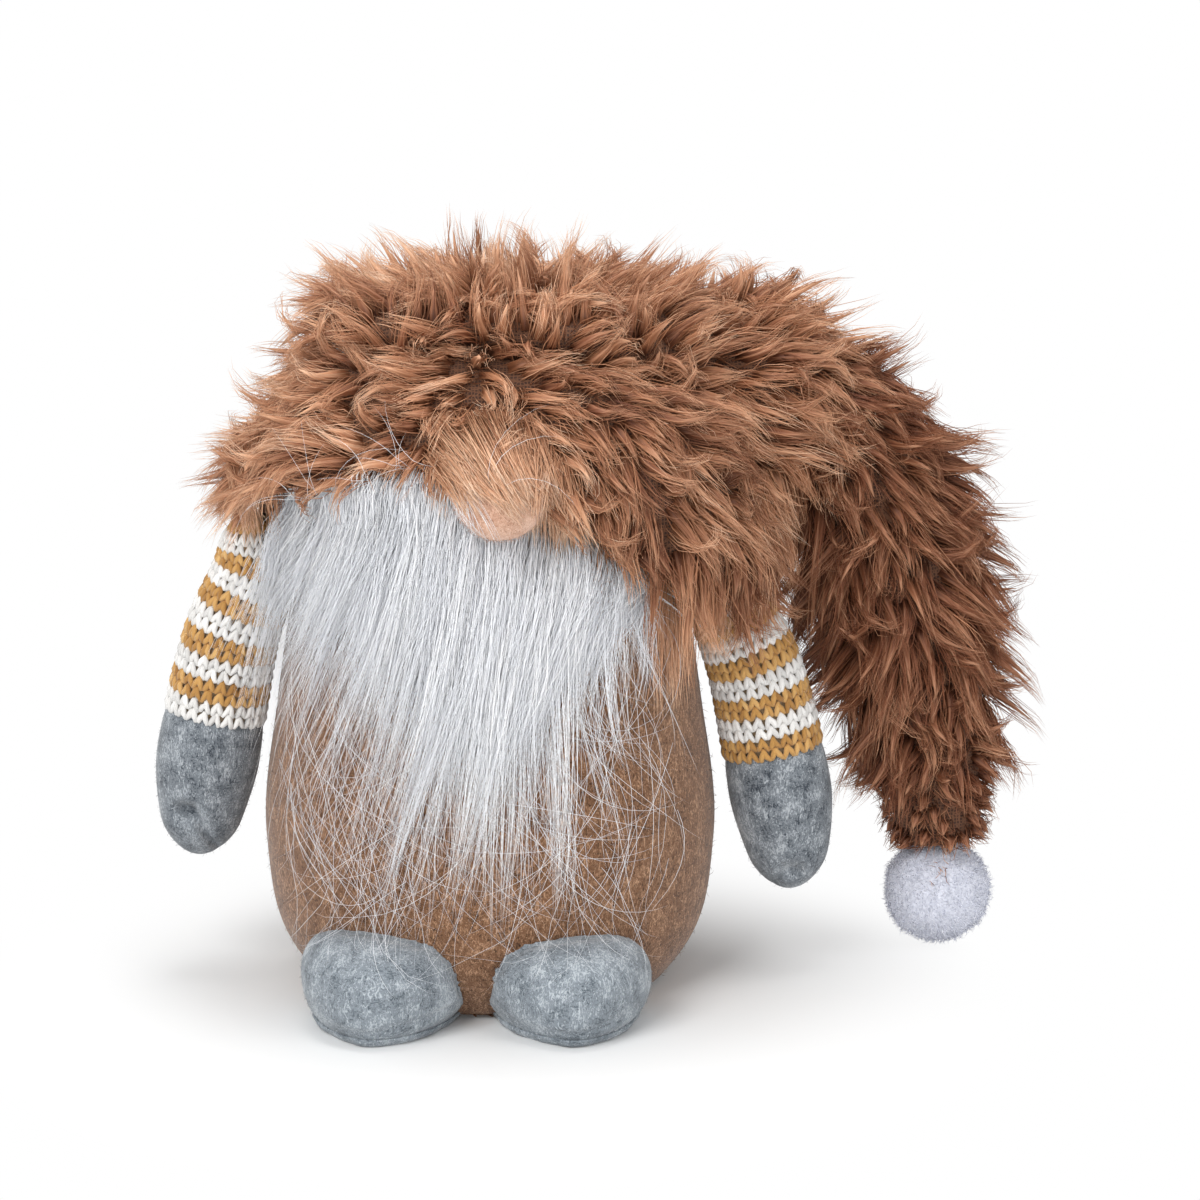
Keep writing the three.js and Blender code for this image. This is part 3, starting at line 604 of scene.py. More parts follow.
def filled(node, body, material, pressed=None):
    """The lumpy filling that stands for a node's plain solid, a little smaller than the room for it."""
    form = bmesh.new()
    form.from_mesh(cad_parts[node].data)
    bmesh.ops.remove_doubles(form, verts=form.verts[:], dist=0.02 * MM)
    bmesh.ops.subdivide_edges(form, edges=form.edges[:], cuts=2 if pressed else 1, use_grid_fill=True)
    bmesh.ops.recalc_face_normals(form, faces=form.faces[:])
    form.normal_update()
    for vert in form.verts:
        lump = 0.5 + 0.5 * noise.noise(vert.co / (7 * MM))
        vert.co -= vert.normal * (0.3 + 0.8 * lump) * MM
        if pressed:
            vert.co = pressed(vert.co)
    made = link(node + "_lumps", form, material)
    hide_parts(node)
    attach(made, body)


for node, body in (
    ("body_stuffing", "torso"),
    ("left_foot_stuffing", "left_foot"),
    ("right_foot_stuffing", "right_foot"),
):
    filled(node, body, filling_cloth)
filled("weight_bag", "torso", pellet_cloth)

# Feet: two grey felt pads, each an upper drawn over its filling and sewn to a sole, which stands
# out in front as a lip under a fold of the upper. Each is turned out a little and lies on the body.
GREY_LIGHT = (tint(78, 86, 93), tint(127, 135, 142), tint(178, 185, 191))
FOOT_HALF_WIDTH = 20.5
FOOT_LENGTH = 26.5
FOOT_HEIGHT = 25
FOOT_SWELL_HEIGHT = 10
FOOT_TUCK = 0.16
FOOT_FULLNESS = 2.9
FOOT_POINT = 0.22
FOOT_BACK = 36
FOOT_TURN = math.radians(7)
FOOT_PLACES = {"right": -25.3, "left": 19.7}
FOOT_SEEDS = {"right": 22, "left": 21}
SOLE_HEIGHT = 2.2
pale_felt = felt("grey_felt_pale", *GREY_LIGHT, fleck=1.2, mottled=0.45)
grey_fuzz = fibre("grey_fuzz", GREY_LIGHT, GREY_LIGHT, GREY_LIGHT, Roughness=0.8)


def foot_ring(turn, z, proud):
    """Points of a foot's outline at a height, moved out by proud. It swells a little above the sole."""
    above = np.clip((z - FOOT_SWELL_HEIGHT) / (FOOT_HEIGHT - FOOT_SWELL_HEIGHT), 0, 0.9999)
    below = np.clip(1 - z / FOOT_SWELL_HEIGHT, 0, 1)
    scale = (1 - above**FOOT_FULLNESS) ** (1 / FOOT_FULLNESS) - FOOT_TUCK * below**2
    point = 1 + FOOT_POINT * np.clip(1 - z / FOOT_HEIGHT, 0, 1)
    x = (FOOT_HALF_WIDTH * scale + proud) * np.sign(np.cos(turn)) * np.abs(np.cos(turn)) ** point
    y = (FOOT_LENGTH * scale + proud) * np.sign(np.sin(turn)) * np.abs(np.sin(turn)) ** point
    return np.stack([x, y, z], -1)


def foot_upper(turn, rise):
    z = SOLE_HEIGHT - 0.5 + (FOOT_HEIGHT - SOLE_HEIGHT + 0.5) * np.sin(rise * DOME_TURN)
    front = np.maximum(0, -np.sin(turn))
    pinch = 1.2 * np.exp(-(((z - SOLE_HEIGHT) / 0.9) ** 2))
    fold = 1.2 * front**2 * np.exp(-(((z - 5.4 - 1.4 * np.cos(2 * turn + 0.8)) / 0.9) ** 2))
    lump = 0.5 * np.sin(3 * turn + 0.25 * z) * np.sin(math.pi * rise)
    return foot_ring(turn, z, lump - pinch - fold)


def foot_sole(turn, rise):
    bulge = np.sin(np.clip(rise, 0.04, 0.96) * math.pi) ** 0.5
    waver = 0.3 * np.sin(7 * turn + 1) + 0.2 * np.sin(17 * turn)
    return foot_ring(turn, rise * SOLE_HEIGHT, (0.6 + waver) * bulge - 0.5)


def against_body(form, x):
    """Turns and places a foot, and flattens what would lie in the body against it."""
    turned = Matrix.Rotation(math.copysign(FOOT_TURN, x), 3, "Z")
    bmesh.ops.rotate(form, verts=form.verts[:], cent=(0, 0, 0), matrix=turned)
    bmesh.ops.translate(form, verts=form.verts[:], vec=(x * MM, -FOOT_BACK * MM, 0))
    for vert in form.verts:
        at = vert.co / MM
        room = sack_radius(at.z) + 0.4
        face = -SACK_DEPTH_SHARE * math.sqrt(max(float(room) ** 2 - at.x**2, 0))
        if at.y > face:
            vert.co.y = face * MM
    bmesh.ops.recalc_face_normals(form, faces=form.faces[:])
    return form


for side, x in FOOT_PLACES.items():
    upper_form = swollen(
        against_body(tube(26, 64, foot_upper, ("bottom", "top")), x),
        voxel=0.75,
        cap=0.9,
        held=lambda at: at[:, 2] < 6,
    )
    upper = link(f"{side}_foot_felt", upper_form, pale_felt)
    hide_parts(f"{side}_foot_upper")
    sole_form = against_body(tube(6, 64, foot_sole, ("bottom", "top")), x)
    sole = link(f"{side}_foot_sole_felt", sole_form, pale_felt)
    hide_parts(f"{side}_foot_sole")
    foot_rng = np.random.default_rng(FOOT_SEEDS[side])
    nap = fuzz(f"{side}_foot_nap", *scatter(upper.data, 1.9, foot_rng), 1.1, 0.09, grey_fuzz, foot_rng)
    for piece in (upper, sole, nap):
        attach(piece, f"{side}_foot")

# Arms: a knitted sleeve in mustard and white stripes of two rows each, drawn over its filling, with
# a grey felt mitten sewn to its end. Each hangs from the shoulder seam, out of sight under the hat.
CUFF = 54.2
MITTEN_END = 90.8
ARM_BENDS = np.array(((0, 10), (0, 0), (7.2, -21.5), (12, -43), (15, -61), (17, -79)))
ARM_PLACES = np.r_[0, np.cumsum(np.linalg.norm(np.diff(ARM_BENDS, axis=0), axis=1))]
ARM_RADII = ((0, 10), (10, 10), (32, 11.5), (54, 12.5), (67, 12.8), (76, 11.4), (84, 9.4), (91, 7.5))
ARM_DEPTH_SHARE = 0.9
SHOULDERS = {"right": (-57.3, 110), "left": (59.5, 101)}
STITCH_COLUMNS = 25
STITCH_HEIGHT = 2.75
STITCH_ROWS = 19
STITCH_WIDTH = 1.5
MITTEN_DIMPLES = {"right": (-76.5, 45, 4.4), "left": (76.5, 29, 2.8)}
MITTEN_SEWN = 47
MITTEN_FREE = 50
ARM_SEEDS = {"right": 31, "left": 32}


def arm_frame(side, place):
    """The middle of an arm and the way across it, in the x and z plane, at places along it."""
    rows = np.c_[ARM_PLACES, ARM_BENDS]
    out, up = np.moveaxis(smooth(rows, place), -1, 0)
    ahead = smooth(rows, np.asarray(place) + 1) - smooth(rows, np.asarray(place) - 1)
    ahead = unit(ahead)
    x, z = SHOULDERS[side]
    sign = math.copysign(1, x)
    middle = np.stack([x + sign * out, np.zeros_like(out), z + up], -1)
    return middle, np.stack([-sign * ahead[..., 1], np.zeros_like(out), ahead[..., 0]], -1) * sign


def arm_radius(place):
    shoulder = np.clip(1 - np.clip(place, 0, 10) / 10, 0, 1)
    fingers = np.clip(1 - np.clip(MITTEN_END - place, 0, 9.5) / 9.5, 0, 1)
    ends = np.sqrt(np.maximum(1 - shoulder**2, 0.002)) * np.sqrt(np.maximum(1 - fingers**2, 0.002))
    return smooth(ARM_RADII, place)[..., 0] * ends


def arm_point(side, turn, place, radius):
    middle, across = arm_frame(side, place)
    x_part = across * (radius * np.cos(turn))[..., None]
    y_part = np.array((0, 1.0, 0)) * (radius * ARM_DEPTH_SHARE * np.sin(turn))[..., None]
    return middle + x_part + y_part


def mitten_point(side):
    def shape(turn, rise):
        place = CUFF - 1.5 + (MITTEN_END - CUFF + 1.5) * np.sin(np.clip(rise, 0, 1) * DOME_TURN)
        radius = arm_radius(place) + 0.1
        radius = radius * (1 - 0.08 * np.exp(-(((place - CUFF + 1.5) / 1.6) ** 2)))
        return arm_point(side, turn, place, radius)

    return shape


def dimpled(side):
    """Draws in a point, in metres, by the dimple in a mitten's front and the crease that runs down
    from it."""
    dimple_x, dimple_z, deep = MITTEN_DIMPLES[side]
    inward = 1 if side == "left" else -1

    def moved(at):
        x, y, z = at / MM
        pit = math.exp(-(((x - dimple_x) / 2.6) ** 2) - ((z - dimple_z) / 2.2) ** 2)
        crease_x = dimple_x - inward * (2.4 + 0.45 * max(dimple_z - z, 0))
        below = min(max((dimple_z + 3 - z) / 4, 0), 1)
        crease = 0.5 * below * math.exp(-(((x - crease_x) / 1.1) ** 2))
        return Vector((x, y + (y < 0) * deep * (pit + crease) * min(-y / 4, 1), z)) * MM

    return moved


MUSTARD = (tint(140, 96, 42), tint(182, 136, 72), tint(208, 168, 108))
WHITE_YARN = (tint(188, 186, 183), tint(216, 214, 211), tint(240, 238, 235))
GREY_DARK = (tint(52, 58, 66), tint(112, 118, 124), tint(168, 173, 178))
grey_felt = felt("grey_felt", *GREY_DARK, fleck=1.1, mottled=0.5)
mitten_fuzz = fibre("mitten_fuzz", GREY_DARK, GREY_DARK, GREY_DARK, Roughness=0.8)
mustard_yarn = fibre("mustard_yarn", MUSTARD, MUSTARD, MUSTARD, Roughness=0.85, Sheen_Weight=0.2)
white_yarn = fibre("white_yarn", WHITE_YARN, WHITE_YARN, WHITE_YARN, Roughness=0.85, Sheen_Weight=0.2)
# The backing under the stitches is a dull brown-grey: painted shade for the gaps between the stitches.
LINING_IN_SHADE = (tint(112, 88, 60), tint(178, 156, 126))
yarn_loops = {"Scale": 700.0, "Detail": 3.0}
sleeve_back = textured("sleeve_backing", "TexNoise", yarn_loops, LINING_IN_SHADE, 0.6, 0.6, Roughness=0.9)
YARN_SHARES = np.array((0, 0.2, 0.55, 0.88, 1))


def stitches(side, rows, rng):
    """Both legs of every stitch in rows of knitting, counted from the cuff: a V that points down."""
    grid = np.meshgrid(rows, np.arange(STITCH_COLUMNS), (-1, 1), indexing="ij")
    row, column, leg = (part.ravel() for part in grid)
    middle = (column + 0.5) / STITCH_COLUMNS * 2 * math.pi
    half = math.pi / STITCH_COLUMNS
    paths = []
    for share, apart, deep in zip(YARN_SHARES, (1.1, 0.98, 0.62, 0.2, 0.02), (-0.9, -0.3, -0.1, -0.5, -1.3)):
        place = CUFF - 0.4 - (row + 1.2 - 1.3 * share) * STITCH_HEIGHT + 0.14 * rng.normal(size=len(row))
        place = np.maximum(place, 1.2)
        turn = middle + leg * half * apart * 0.94 + 0.012 * rng.normal(size=len(row))
        paths.append(arm_point(side, turn, place, arm_radius(place) + deep * 0.8))
    paths = np.stack(paths, 1)
    swell = np.array((0.6, 1, 1.05, 0.8, 0.3)) * rng.uniform(0.92, 1.08, (len(row), 1))
    near_top = np.clip((row - STITCH_ROWS + 5) / 5, 0, 1)[:, None]
    return paths, STITCH_WIDTH * swell * (1 - 0.55 * near_top), shades(0.5, 0.2, len(row), rng)


for side in ("right", "left"):
    arm_rng = np.random.default_rng(ARM_SEEDS[side])

    def lining(turn, rise):
        place = 0.6 + (CUFF - 0.6) * (1 - np.cos(rise * math.pi / 2))
        return arm_point(side, turn, place, np.maximum(arm_radius(place) - 1.15, 0.4))

    sleeve = link(f"{side}_sleeve_backing", tube(22, 48, lining, ("bottom", "top")), sleeve_back)
    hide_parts(f"{side}_sleeve")
    pieces = [sleeve]
    places, facing = scatter(sleeve.data, 2.1, arm_rng)
    middles = arm_frame(side, np.linspace(0, CUFF, 109))[0]
    from_cuff = CUFF - np.argmin(((places[:, None] - middles) ** 2).sum(2), 1) / 2
    from_cuff /= STITCH_HEIGHT
    first = 0 if side == "right" else 1
    for name, yarn, parity in (("white", white_yarn, first), ("mustard", mustard_yarn, 1 - first)):
        rows = [row for row in range(STITCH_ROWS) if (row // 2) % 2 == parity]
        paths, widths, tones = stitches(side, rows, arm_rng)
        pieces.append(strands(f"{side}_sleeve_{name}", paths, widths, tones, YARN_SHARES, yarn, sides=6))
        striped = (from_cuff.astype(int) // 2) % 2 == parity
        near, out = (places + facing * 1.7)[striped], facing[striped]
        pieces.append(fuzz(f"{side}_sleeve_{name}_nap", near, out, 2.4, 0.09, yarn, arm_rng, 0.5))
    for piece in pieces:
        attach(piece, f"{side}_arm")
    mitten_form = swollen(
        tube(30, 56, mitten_point(side), ("bottom", "top")),
        voxel=0.75,
        cap=0.6,
        held=lambda at: at[:, 2] > SHOULDERS[side][1] - MITTEN_SEWN,
    )
    for vert in mitten_form.verts:
        vert.co = dimpled(side)(vert.co)
    in_mitten = under(mitten_form, SHOULDERS[side][1] - MITTEN_FREE)
    filled(f"{side}_arm_stuffing", f"{side}_arm", filling_cloth, in_mitten)
    mitten = link(f"{side}_mitten_felt", mitten_form, grey_felt)
    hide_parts(f"{side}_mitten")
    nap = fuzz(f"{side}_mitten_nap", *scatter(mitten.data, 1.9, arm_rng), 1.2, 0.09, mitten_fuzz, arm_rng)
    for piece in (mitten, nap):
        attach(piece, f"{side}_arm")

# Beard: long white fur on a strip of backing that is sewn across the face under the brim. It is
# combed down and to one side in a fan that comes to two points, with loose hairs over the belly.
BEARD_MIDDLE = -3
BACKING_HALF_WIDTH = 37
BACKING_TOP = 140
BACKING_FOOT = 111
BEARD_SEED = 41
HAIR_SHARES = np.array((0, 0.2, 0.42, 0.64, 0.84, 1))
LONG_SHARES = np.linspace(0, 1, 9)
# The hairs' roots are a darker, bluish grey: painted shade deep in the beard.
SHADED_WHITE_ROOTS = (tint(200, 202, 208), tint(236, 238, 242), tint(254, 254, 255))
WHITE_HAIR = (tint(214, 216, 222), tint(244, 246, 250), tint(255, 255, 255))
white_hair = fibre("white_hair", SHADED_WHITE_ROOTS, WHITE_HAIR, WHITE_HAIR, Roughness=0.5, Specular_IOR_Level=0.35)
# The way that the beard's hair lies: where it starts along the brim, and where its dense part ends
BEARD_FLOW = (
    (-45, 134, -58, 108), (-36, 138, -55, 97), (-26, 142, -48, 86), (-15, 145, -37, 74),
    (-5, 144, -21, 65), (4, 138, -8, 57), (12, 131, -2, 56), (20, 125, 4, 67), (29, 119, 14, 81),
    (39, 111, 27, 95),
)
ARM_FRONT = 12
BESIDE_BELLY = -48


def on_chest(x, z, proud):
    """Points in front of the sack at x and z, a little proud of it, all in millimetres. Beside the
    sack they lie before the arm."""
    radius = sack_radius(z)
    side = np.clip(x / radius, -0.96, 0.96)
    hull = np.sqrt(1 - side**2)
    lean = unit(np.stack([side * SACK_DEPTH_SHARE * 0.6, -hull, np.zeros_like(z)], -1))
    depth = np.maximum(SACK_DEPTH_SHARE * radius * hull, ARM_FRONT)
    return np.stack([x, -depth, z], -1) + lean * np.asarray(proud)[..., None]


def clear_of_sack(paths, room):
    """Moves points that would lie in the sack out to a little off it."""
    radius = sack_radius(paths[..., 2]) + room
    flat = paths[..., :2] / np.array((1, SACK_DEPTH_SHARE))
    reach = np.linalg.norm(flat, axis=-1)
    grow = np.where((reach < radius) & (paths[..., 2] < HEAD_HEIGHT + 20), radius / np.maximum(reach, 1), 1)
    return np.concatenate([paths[..., :2] * grow[..., None], paths[..., 2:]], -1)


def over_rim(z):
    """How far hair that starts on the brim's edge stands before the head."""
    return 16 * np.clip((z - 126) / 14, 0, 1.15) ** 1.2


def over_feet(x, z):
    """How far hair that hangs to a foot is pushed out over it."""
    on_foot = np.exp(-(((np.abs(x + 2.8) - 22.5) / 17) ** 4))
    return on_foot * 19 * np.clip((28 - z) / 15, 0, 1) ** 0.6


def grown(guides, normals, spread, per_lock, clump, frizz, shares, rng, shortest=0.62):
    """The hairs of locks: paths that start round each guide's root and gather at its tip."""
    along = unit(guides[:, 1] - guides[:, 0])
    side = unit(np.cross(along, normals + 0.01))
    cross = np.cross(along, side)
    total = len(guides) * per_lock
    owner = np.repeat(np.arange(len(guides)), per_lock)
    angle, radius = rng.random(total) * 2 * math.pi, np.sqrt(rng.random(total)) * spread[owner]
    reach = rng.uniform(shortest, 1.06, total)
    at = np.clip(shares[None] * reach[:, None], 0, 1) * (guides.shape[1] - 1)
    low = np.minimum(at.astype(int), guides.shape[1] - 2)
    part = (at - low)[:, :, None]
    middle = guides[owner[:, None], low] * (1 - part) + guides[owner[:, None], low + 1] * part
    narrow = 1 - clump[owner][:, None] * shares[None] ** 0.7
    offset = side[owner] * (radius * np.cos(angle))[:, None]
    offset = offset + cross[owner] * (radius * np.sin(angle))[:, None]
    wave = rng.normal(size=(total, 1, 3)) * np.sin(shares[None, :, None] * rng.uniform(2, 7, (total, 1, 1)))
    bow = rng.normal(size=(total, 1, 3)) * shares[None, :, None] ** 1.5
    return middle + offset[:, None] * narrow[:, :, None] + frizz * (wave + bow), owner


def flowing(start, root, end, proud, bow, splay, rng):
    """Guides that follow the flow from where it starts, between two shares of its length. splay turns
    each a little aside."""
    count = len(start)
    rise, tip_x, tip_z = (value[:, None] for value in np.moveaxis(smooth(BEARD_FLOW, start), -1, 0))
    steps = np.linspace(0, 1, 11)[None]
    at = root[:, None] + (end - root)[:, None] * steps
    bowed = bow * rng.normal(size=(count, 1)) * np.sin(math.pi * steps)
    aside = splay[:, None] * (at - root[:, None]) + bowed
    waves = steps * rng.uniform(4, 9, (count, 1)) + rng.random((count, 1)) * 2 * math.pi
    ripple = 0.6 * np.sin(waves) * steps
    x = start[:, None] + (tip_x - start[:, None]) * at**1.15 + aside + ripple
    x = np.where(x < BESIDE_BELLY, BESIDE_BELLY + 0.4 * (x - BESIDE_BELLY), x)
    z = rise + (tip_z - rise) * at
    off = proud[:, None] * (0.3 + 0.7 * np.sin(math.pi * np.clip(steps * 0.8 + 0.1, 0, 1))) + 1.2
    off = off + over_feet(x, z) + over_rim(z)
    off[:, 0] *= 0.4
    return on_chest(x, np.maximum(z, 8), off)


def beard_hairs(name, guides, spread, per_lock, width, frizz, clump, shares, rng, shortest=0.62):
    """The hairs of locks that hang in front of the chest."""
    facing = unit(guides[:, 0] * (1, 1, 0))
    spreads = np.full(len(guides), spread)
    paths, owner = grown(guides, facing, spreads, per_lock, clump, frizz, shares, rng, shortest)
    tones = 0.58 + 0.16 * rng.normal(size=len(guides))[owner] + 0.14 * rng.normal(size=len(owner))
    tones = np.clip(tones, 0, 1)
    widths = tapered(len(paths), shares, width, rng, 2.5)
    return strands(name, clear_of_sack(paths, 0.7), widths, tones, shares, white_hair)


def beard_slab(turn, rise):
    wide = BEARD_MIDDLE + BACKING_HALF_WIDTH * np.cos(turn)
    low = BACKING_FOOT - 0.31 * (wide - BEARD_MIDDLE)
    z = low + (BACKING_TOP - low) * (0.5 + 0.5 * np.sin(turn))
    return on_chest(wide, z, 1.0 + 2.6 * rise)


def knitted(name, texture, edge, colours):
    """A knitted backing: small cells, from the colour between them to that of their middle."""
    made, shader, place = new_material(name, Roughness=0.9)
    cells = place.node("TexVoronoi", {"feature": "DISTANCE_TO_EDGE"}, {"Vector": place, **texture})
    feed(shader, "Base Color", mixed(eased(cells, 0.05, edge), *colours))
    return made


BEARD_BACKING = (tint(236, 234, 230), tint(196, 192, 186))
beard_cloth = knitted("beard_backing", {"Scale": 700.0}, 0.2, BEARD_BACKING)
slab = link("beard_cloth", tube(1, 64, beard_slab, ("bottom", "top")), beard_cloth)
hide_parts("beard_backing")
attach(slab, "torso")

beard_rng = np.random.default_rng(BEARD_SEED)
beard_pieces = []
# name, locks, hairs in a lock, hair width, proud of the chest, shares of the flow where they end
for name, count, per_lock, width, proud_most, ends, shares in (
    ("beard_under", 200, 17, 0.3, 3.0, (0.55, 0.9), HAIR_SHARES),
    ("beard_over", 290, 24, 0.16, 8.0, (0.55, 1.05), HAIR_SHARES),
    ("beard_fringe", 210, 12, 0.12, 6.5, (0.85, 1.5), LONG_SHARES),
):
    start = beard_rng.uniform(-41, 39, count)
    root = 0.4 * beard_rng.random(count) ** 1.3
    end = beard_rng.uniform(*ends, count)
    splay = 5 * beard_rng.normal(size=count)
    if name == "beard_fringe":
        splay += 7 * beard_rng.normal(size=count)
        splay += 26 * beard_rng.random(count) * np.clip(start / 20, -0.3, 1)
    proud = proud_most * beard_rng.uniform(0.3, 1, count) * (1 - 0.5 * np.clip(np.abs(start) / 44, 0, 1))
    guides = flowing(start, root, end, proud, 1.5, splay, beard_rng)
    clump = beard_rng.uniform(0, 0.65, count)
    beard_pieces.append(beard_hairs(name, guides, 3.6, per_lock, width, 1.0, clump, shares, beard_rng))

# Wisps that gather to a point below the dense part: where their flow starts, how far along it they
# end, how far they turn aside, and how many locks each has
WISPS = (
    (2, 1.26, -8, 4), (-3, 1.2, -3, 2), (9, 1.36, 9, 4), (6, 1.2, 4, 3), (-24, 1.22, 5, 2),
    (22, 1.5, 13, 2), (31, 1.5, 19, 2),
)
wisps = []
for start, end, aside, count in WISPS:
    starts = start + 4 * beard_rng.normal(size=count)
    splay = aside + (start - starts) * 0.8
    ends = end + 0.05 * beard_rng.normal(size=count)
    root = 0.3 * beard_rng.random(count)
    proud = beard_rng.uniform(3, 6, count)
    wisps.append(flowing(starts, root, ends, proud, 1.5, splay, beard_rng))
wisps = np.concatenate(wisps)
clump = beard_rng.uniform(0.6, 0.88, len(wisps))
wisps = beard_hairs("beard_wisps", wisps, 4.5, 20, 0.14, 0.6, clump, LONG_SHARES, beard_rng, 0.7)
beard_pieces.append(wisps)

# Single hairs that cross one another over the belly and the feet
count = 560
from_x = -50 + 96 * beard_rng.random((count, 1)) ** 1.35
way = 0.55 * np.sign(from_x + 4) * beard_rng.random((count, 1)) + 0.55 * beard_rng.normal(size=(count, 1))
reach = beard_rng.uniform(22, 60, (count, 1))
from_z = np.minimum(beard_rng.uniform(34, 112, (count, 1)), 108 - 0.25 * from_x)
steps = LONG_SHARES[None]
heading = way + 0.45 * beard_rng.normal(size=(count, 1)) * steps
x = from_x + reach * steps * np.sin(heading)
z = from_z - reach * steps * np.cos(heading)
on_belly = (np.abs(x) < 0.93 * sack_radius(z)).all(1) & (z > 9).all(1)
x, z = x[on_belly], z[on_belly]
proud = beard_rng.uniform(0.6, 3.4, (len(x), 1)) + 1.6 * np.sin(math.pi * steps)
net = clear_of_sack(on_chest(x, z, proud + over_feet(x, z)), 0.5)
net_tones = shades(0.4, 0.25, len(x), beard_rng)
net_widths = tapered(len(x), LONG_SHARES, 0.1, beard_rng, 3)
beard_pieces.append(strands("beard_net", net, net_widths, net_tones, LONG_SHARES, white_hair))
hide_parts("beard_hair")
for piece in beard_pieces:
    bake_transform(piece)

# Stray hairs from the beard's top edge that curl up over the brim
HAT_HALF_WIDTH = 74
count = 18
root_x = beard_rng.uniform(-46, 4, (count, 1))
way = beard_rng.uniform(-1.5, 0.5, (count, 1))
reach = beard_rng.uniform(10, 32, (count, 1))
heading = way + beard_rng.uniform(-1.6, 1.6, (count, 1)) * steps
x = root_x + reach * steps * np.sin(heading)
z = smooth(BEARD_FLOW, root_x)[..., 0] - 2 + reach * steps * np.cos(heading)
side = np.clip((x - 6) / HAT_HALF_WIDTH, -0.99, 0.99)
front = 60 * np.sqrt(1 - side**2) + beard_rng.uniform(0, 5, (count, 1))
strays = np.stack([x, -front * (0.9 + 0.1 * np.clip(steps * 4, 0, 1)), z], -1)
tones = shades(0.6, 0.2, count, beard_rng)
stray_widths = tapered(count, LONG_SHARES, 0.1, beard_rng, 3)
brim_hairs = strands("brim_hairs", strays, stray_widths, tones, LONG_SHARES, white_hair)
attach(brim_hairs, "torso")

# Nose: a small stuffed ball of peach plush cloth, gathered behind and sewn on under the brim.
NOSE = np.array((4, -50, 135.5))
NOSE_RADIUS = 11
NOSE_SEED = 51
PEACH = (tint(172, 126, 102), tint(204, 162, 138), tint(228, 194, 172))
nose_cloth = felt("nose_cloth", *PEACH, fleck=0.9)
nose_nap = fibre("nose_nap", PEACH, PEACH, PEACH, Roughness=0.8)


def ball(place, radius, lump=0.0, lump_size=1.0):
    """A ball in millimetres, with soft lumps so high and so wide."""
    form = bmesh.new()
    bmesh.ops.create_icosphere(form, subdivisions=4, radius=radius * MM)
    bmesh.ops.translate(form, verts=form.verts[:], vec=Vector(place * MM))
    form.normal_update()
    for vert in form.verts:
        vert.co += vert.normal * lump * MM * noise.noise(vert.co / (lump_size * MM))
    return form


nose = link("nose_plush", ball(NOSE, NOSE_RADIUS, 0.45, 5), nose_cloth)
nose_rng = np.random.default_rng(NOSE_SEED)
nap = fuzz("nose_plush_nap", *scatter(nose.data, 0.95, nose_rng), 1.5, 0.1, nose_nap, nose_rng, 0.8)
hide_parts("nose")
for piece in (nose, nap):
    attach(piece, "torso")

# Hat crown: the cloth that carries the pile, cut in one with the bend from which the tail hangs.
# It is a knitted backing, stuffed out over the head and gathered in a crease above the brim.
HAT_TOP = 186
HAT_SHIFT = 7
PILE_DEPTH = 10
PILE_DEPTH_SHARE = 0.85
RIM_HEIGHTS = (102, 101, 105, 112, 122, 134, 137, 111)
CROWN_ROWS = (
    (0, 4, 74, 56), (0.08, 4, 76, 58), (0.3, 7, 73, 58), (0.55, 10, 68, 54), (0.76, 8, 60, 47),
    (0.9, 8, 57, 42), (0.975, 8, 44, 32), (0.998, 8, 20, 14),
)
BEND = np.array((62.0, 10, 148))
BEND_RADIUS = 34
SHEET_THICKNESS = 0.0014


def rim_height(turn):
    eighths = np.mod(turn, 2 * math.pi) / (math.pi / 4)
    rows = [(k, RIM_HEIGHTS[k % 8]) for k in range(-2, 11)]
    return smooth(rows, eighths)[..., 0]


def crown_point(turn, rise, sunk=0.0):
    """Points of the crown's form in millimetres, moved in by sunk. A turn of 0 faces +X, and a rise of
    0 is the brim."""
    shift, half_width, half_depth = np.moveaxis(smooth(CROWN_ROWS, rise), -1, 0)
    fold = 2.4 * np.sin(5 * turn + 2 * rise) * np.sin(np.pi * rise)
    facing = np.maximum(0, np.cos(turn - math.radians(245)))
    crease = 6 * np.exp(-(((rise - 0.74) / 0.08) ** 2)) * facing
    dent = crease - fold
    x = shift + np.maximum(half_width - dent - sunk, 1) * np.cos(turn)
    y = np.maximum(half_depth - dent - sunk * PILE_DEPTH_SHARE, 1) * np.sin(turn)
    low = rim_height(turn)
    return np.stack([x, y, low + (HAT_TOP - sunk - low) * rise], -1)


def in_crown(points, sunk):
    """Whether points lie in the crown's form, moved in by sunk."""
    turn = np.arctan2(points[:, 1], points[:, 0] - HAT_SHIFT)
    low = rim_height(turn)
    rise = np.clip((points[:, 2] - low) / (HAT_TOP - sunk - low), 0, 1)
    edge = crown_point(turn, rise, sunk)
    middle = np.array((HAT_SHIFT, 0))
    reach = np.linalg.norm(edge[:, :2] - middle, axis=1)
    inside = np.linalg.norm(points[:, :2] - middle, axis=1) < reach
    return inside & (points[:, 2] < HAT_TOP - sunk) & (points[:, 2] > low - 2)


crown_form = tube(28, 72, lambda turn, rise: crown_point(turn, rise * 0.998, PILE_DEPTH), ("top",))
bend_form = ball(BEND, BEND_RADIUS - PILE_DEPTH)
middles = np.array([face.calc_center_median() for face in bend_form.faces]) / MM
hidden = in_crown(middles, PILE_DEPTH + 1)
inner = [face for face, inside in zip(bend_form.faces, hidden) if inside]
bmesh.ops.delete(bend_form, geom=inner, context="FACES")
bend_mesh = bpy.data.meshes.new("bend")
bend_form.to_mesh(bend_mesh)
bend_form.free()
crown_form.from_mesh(bend_mesh)

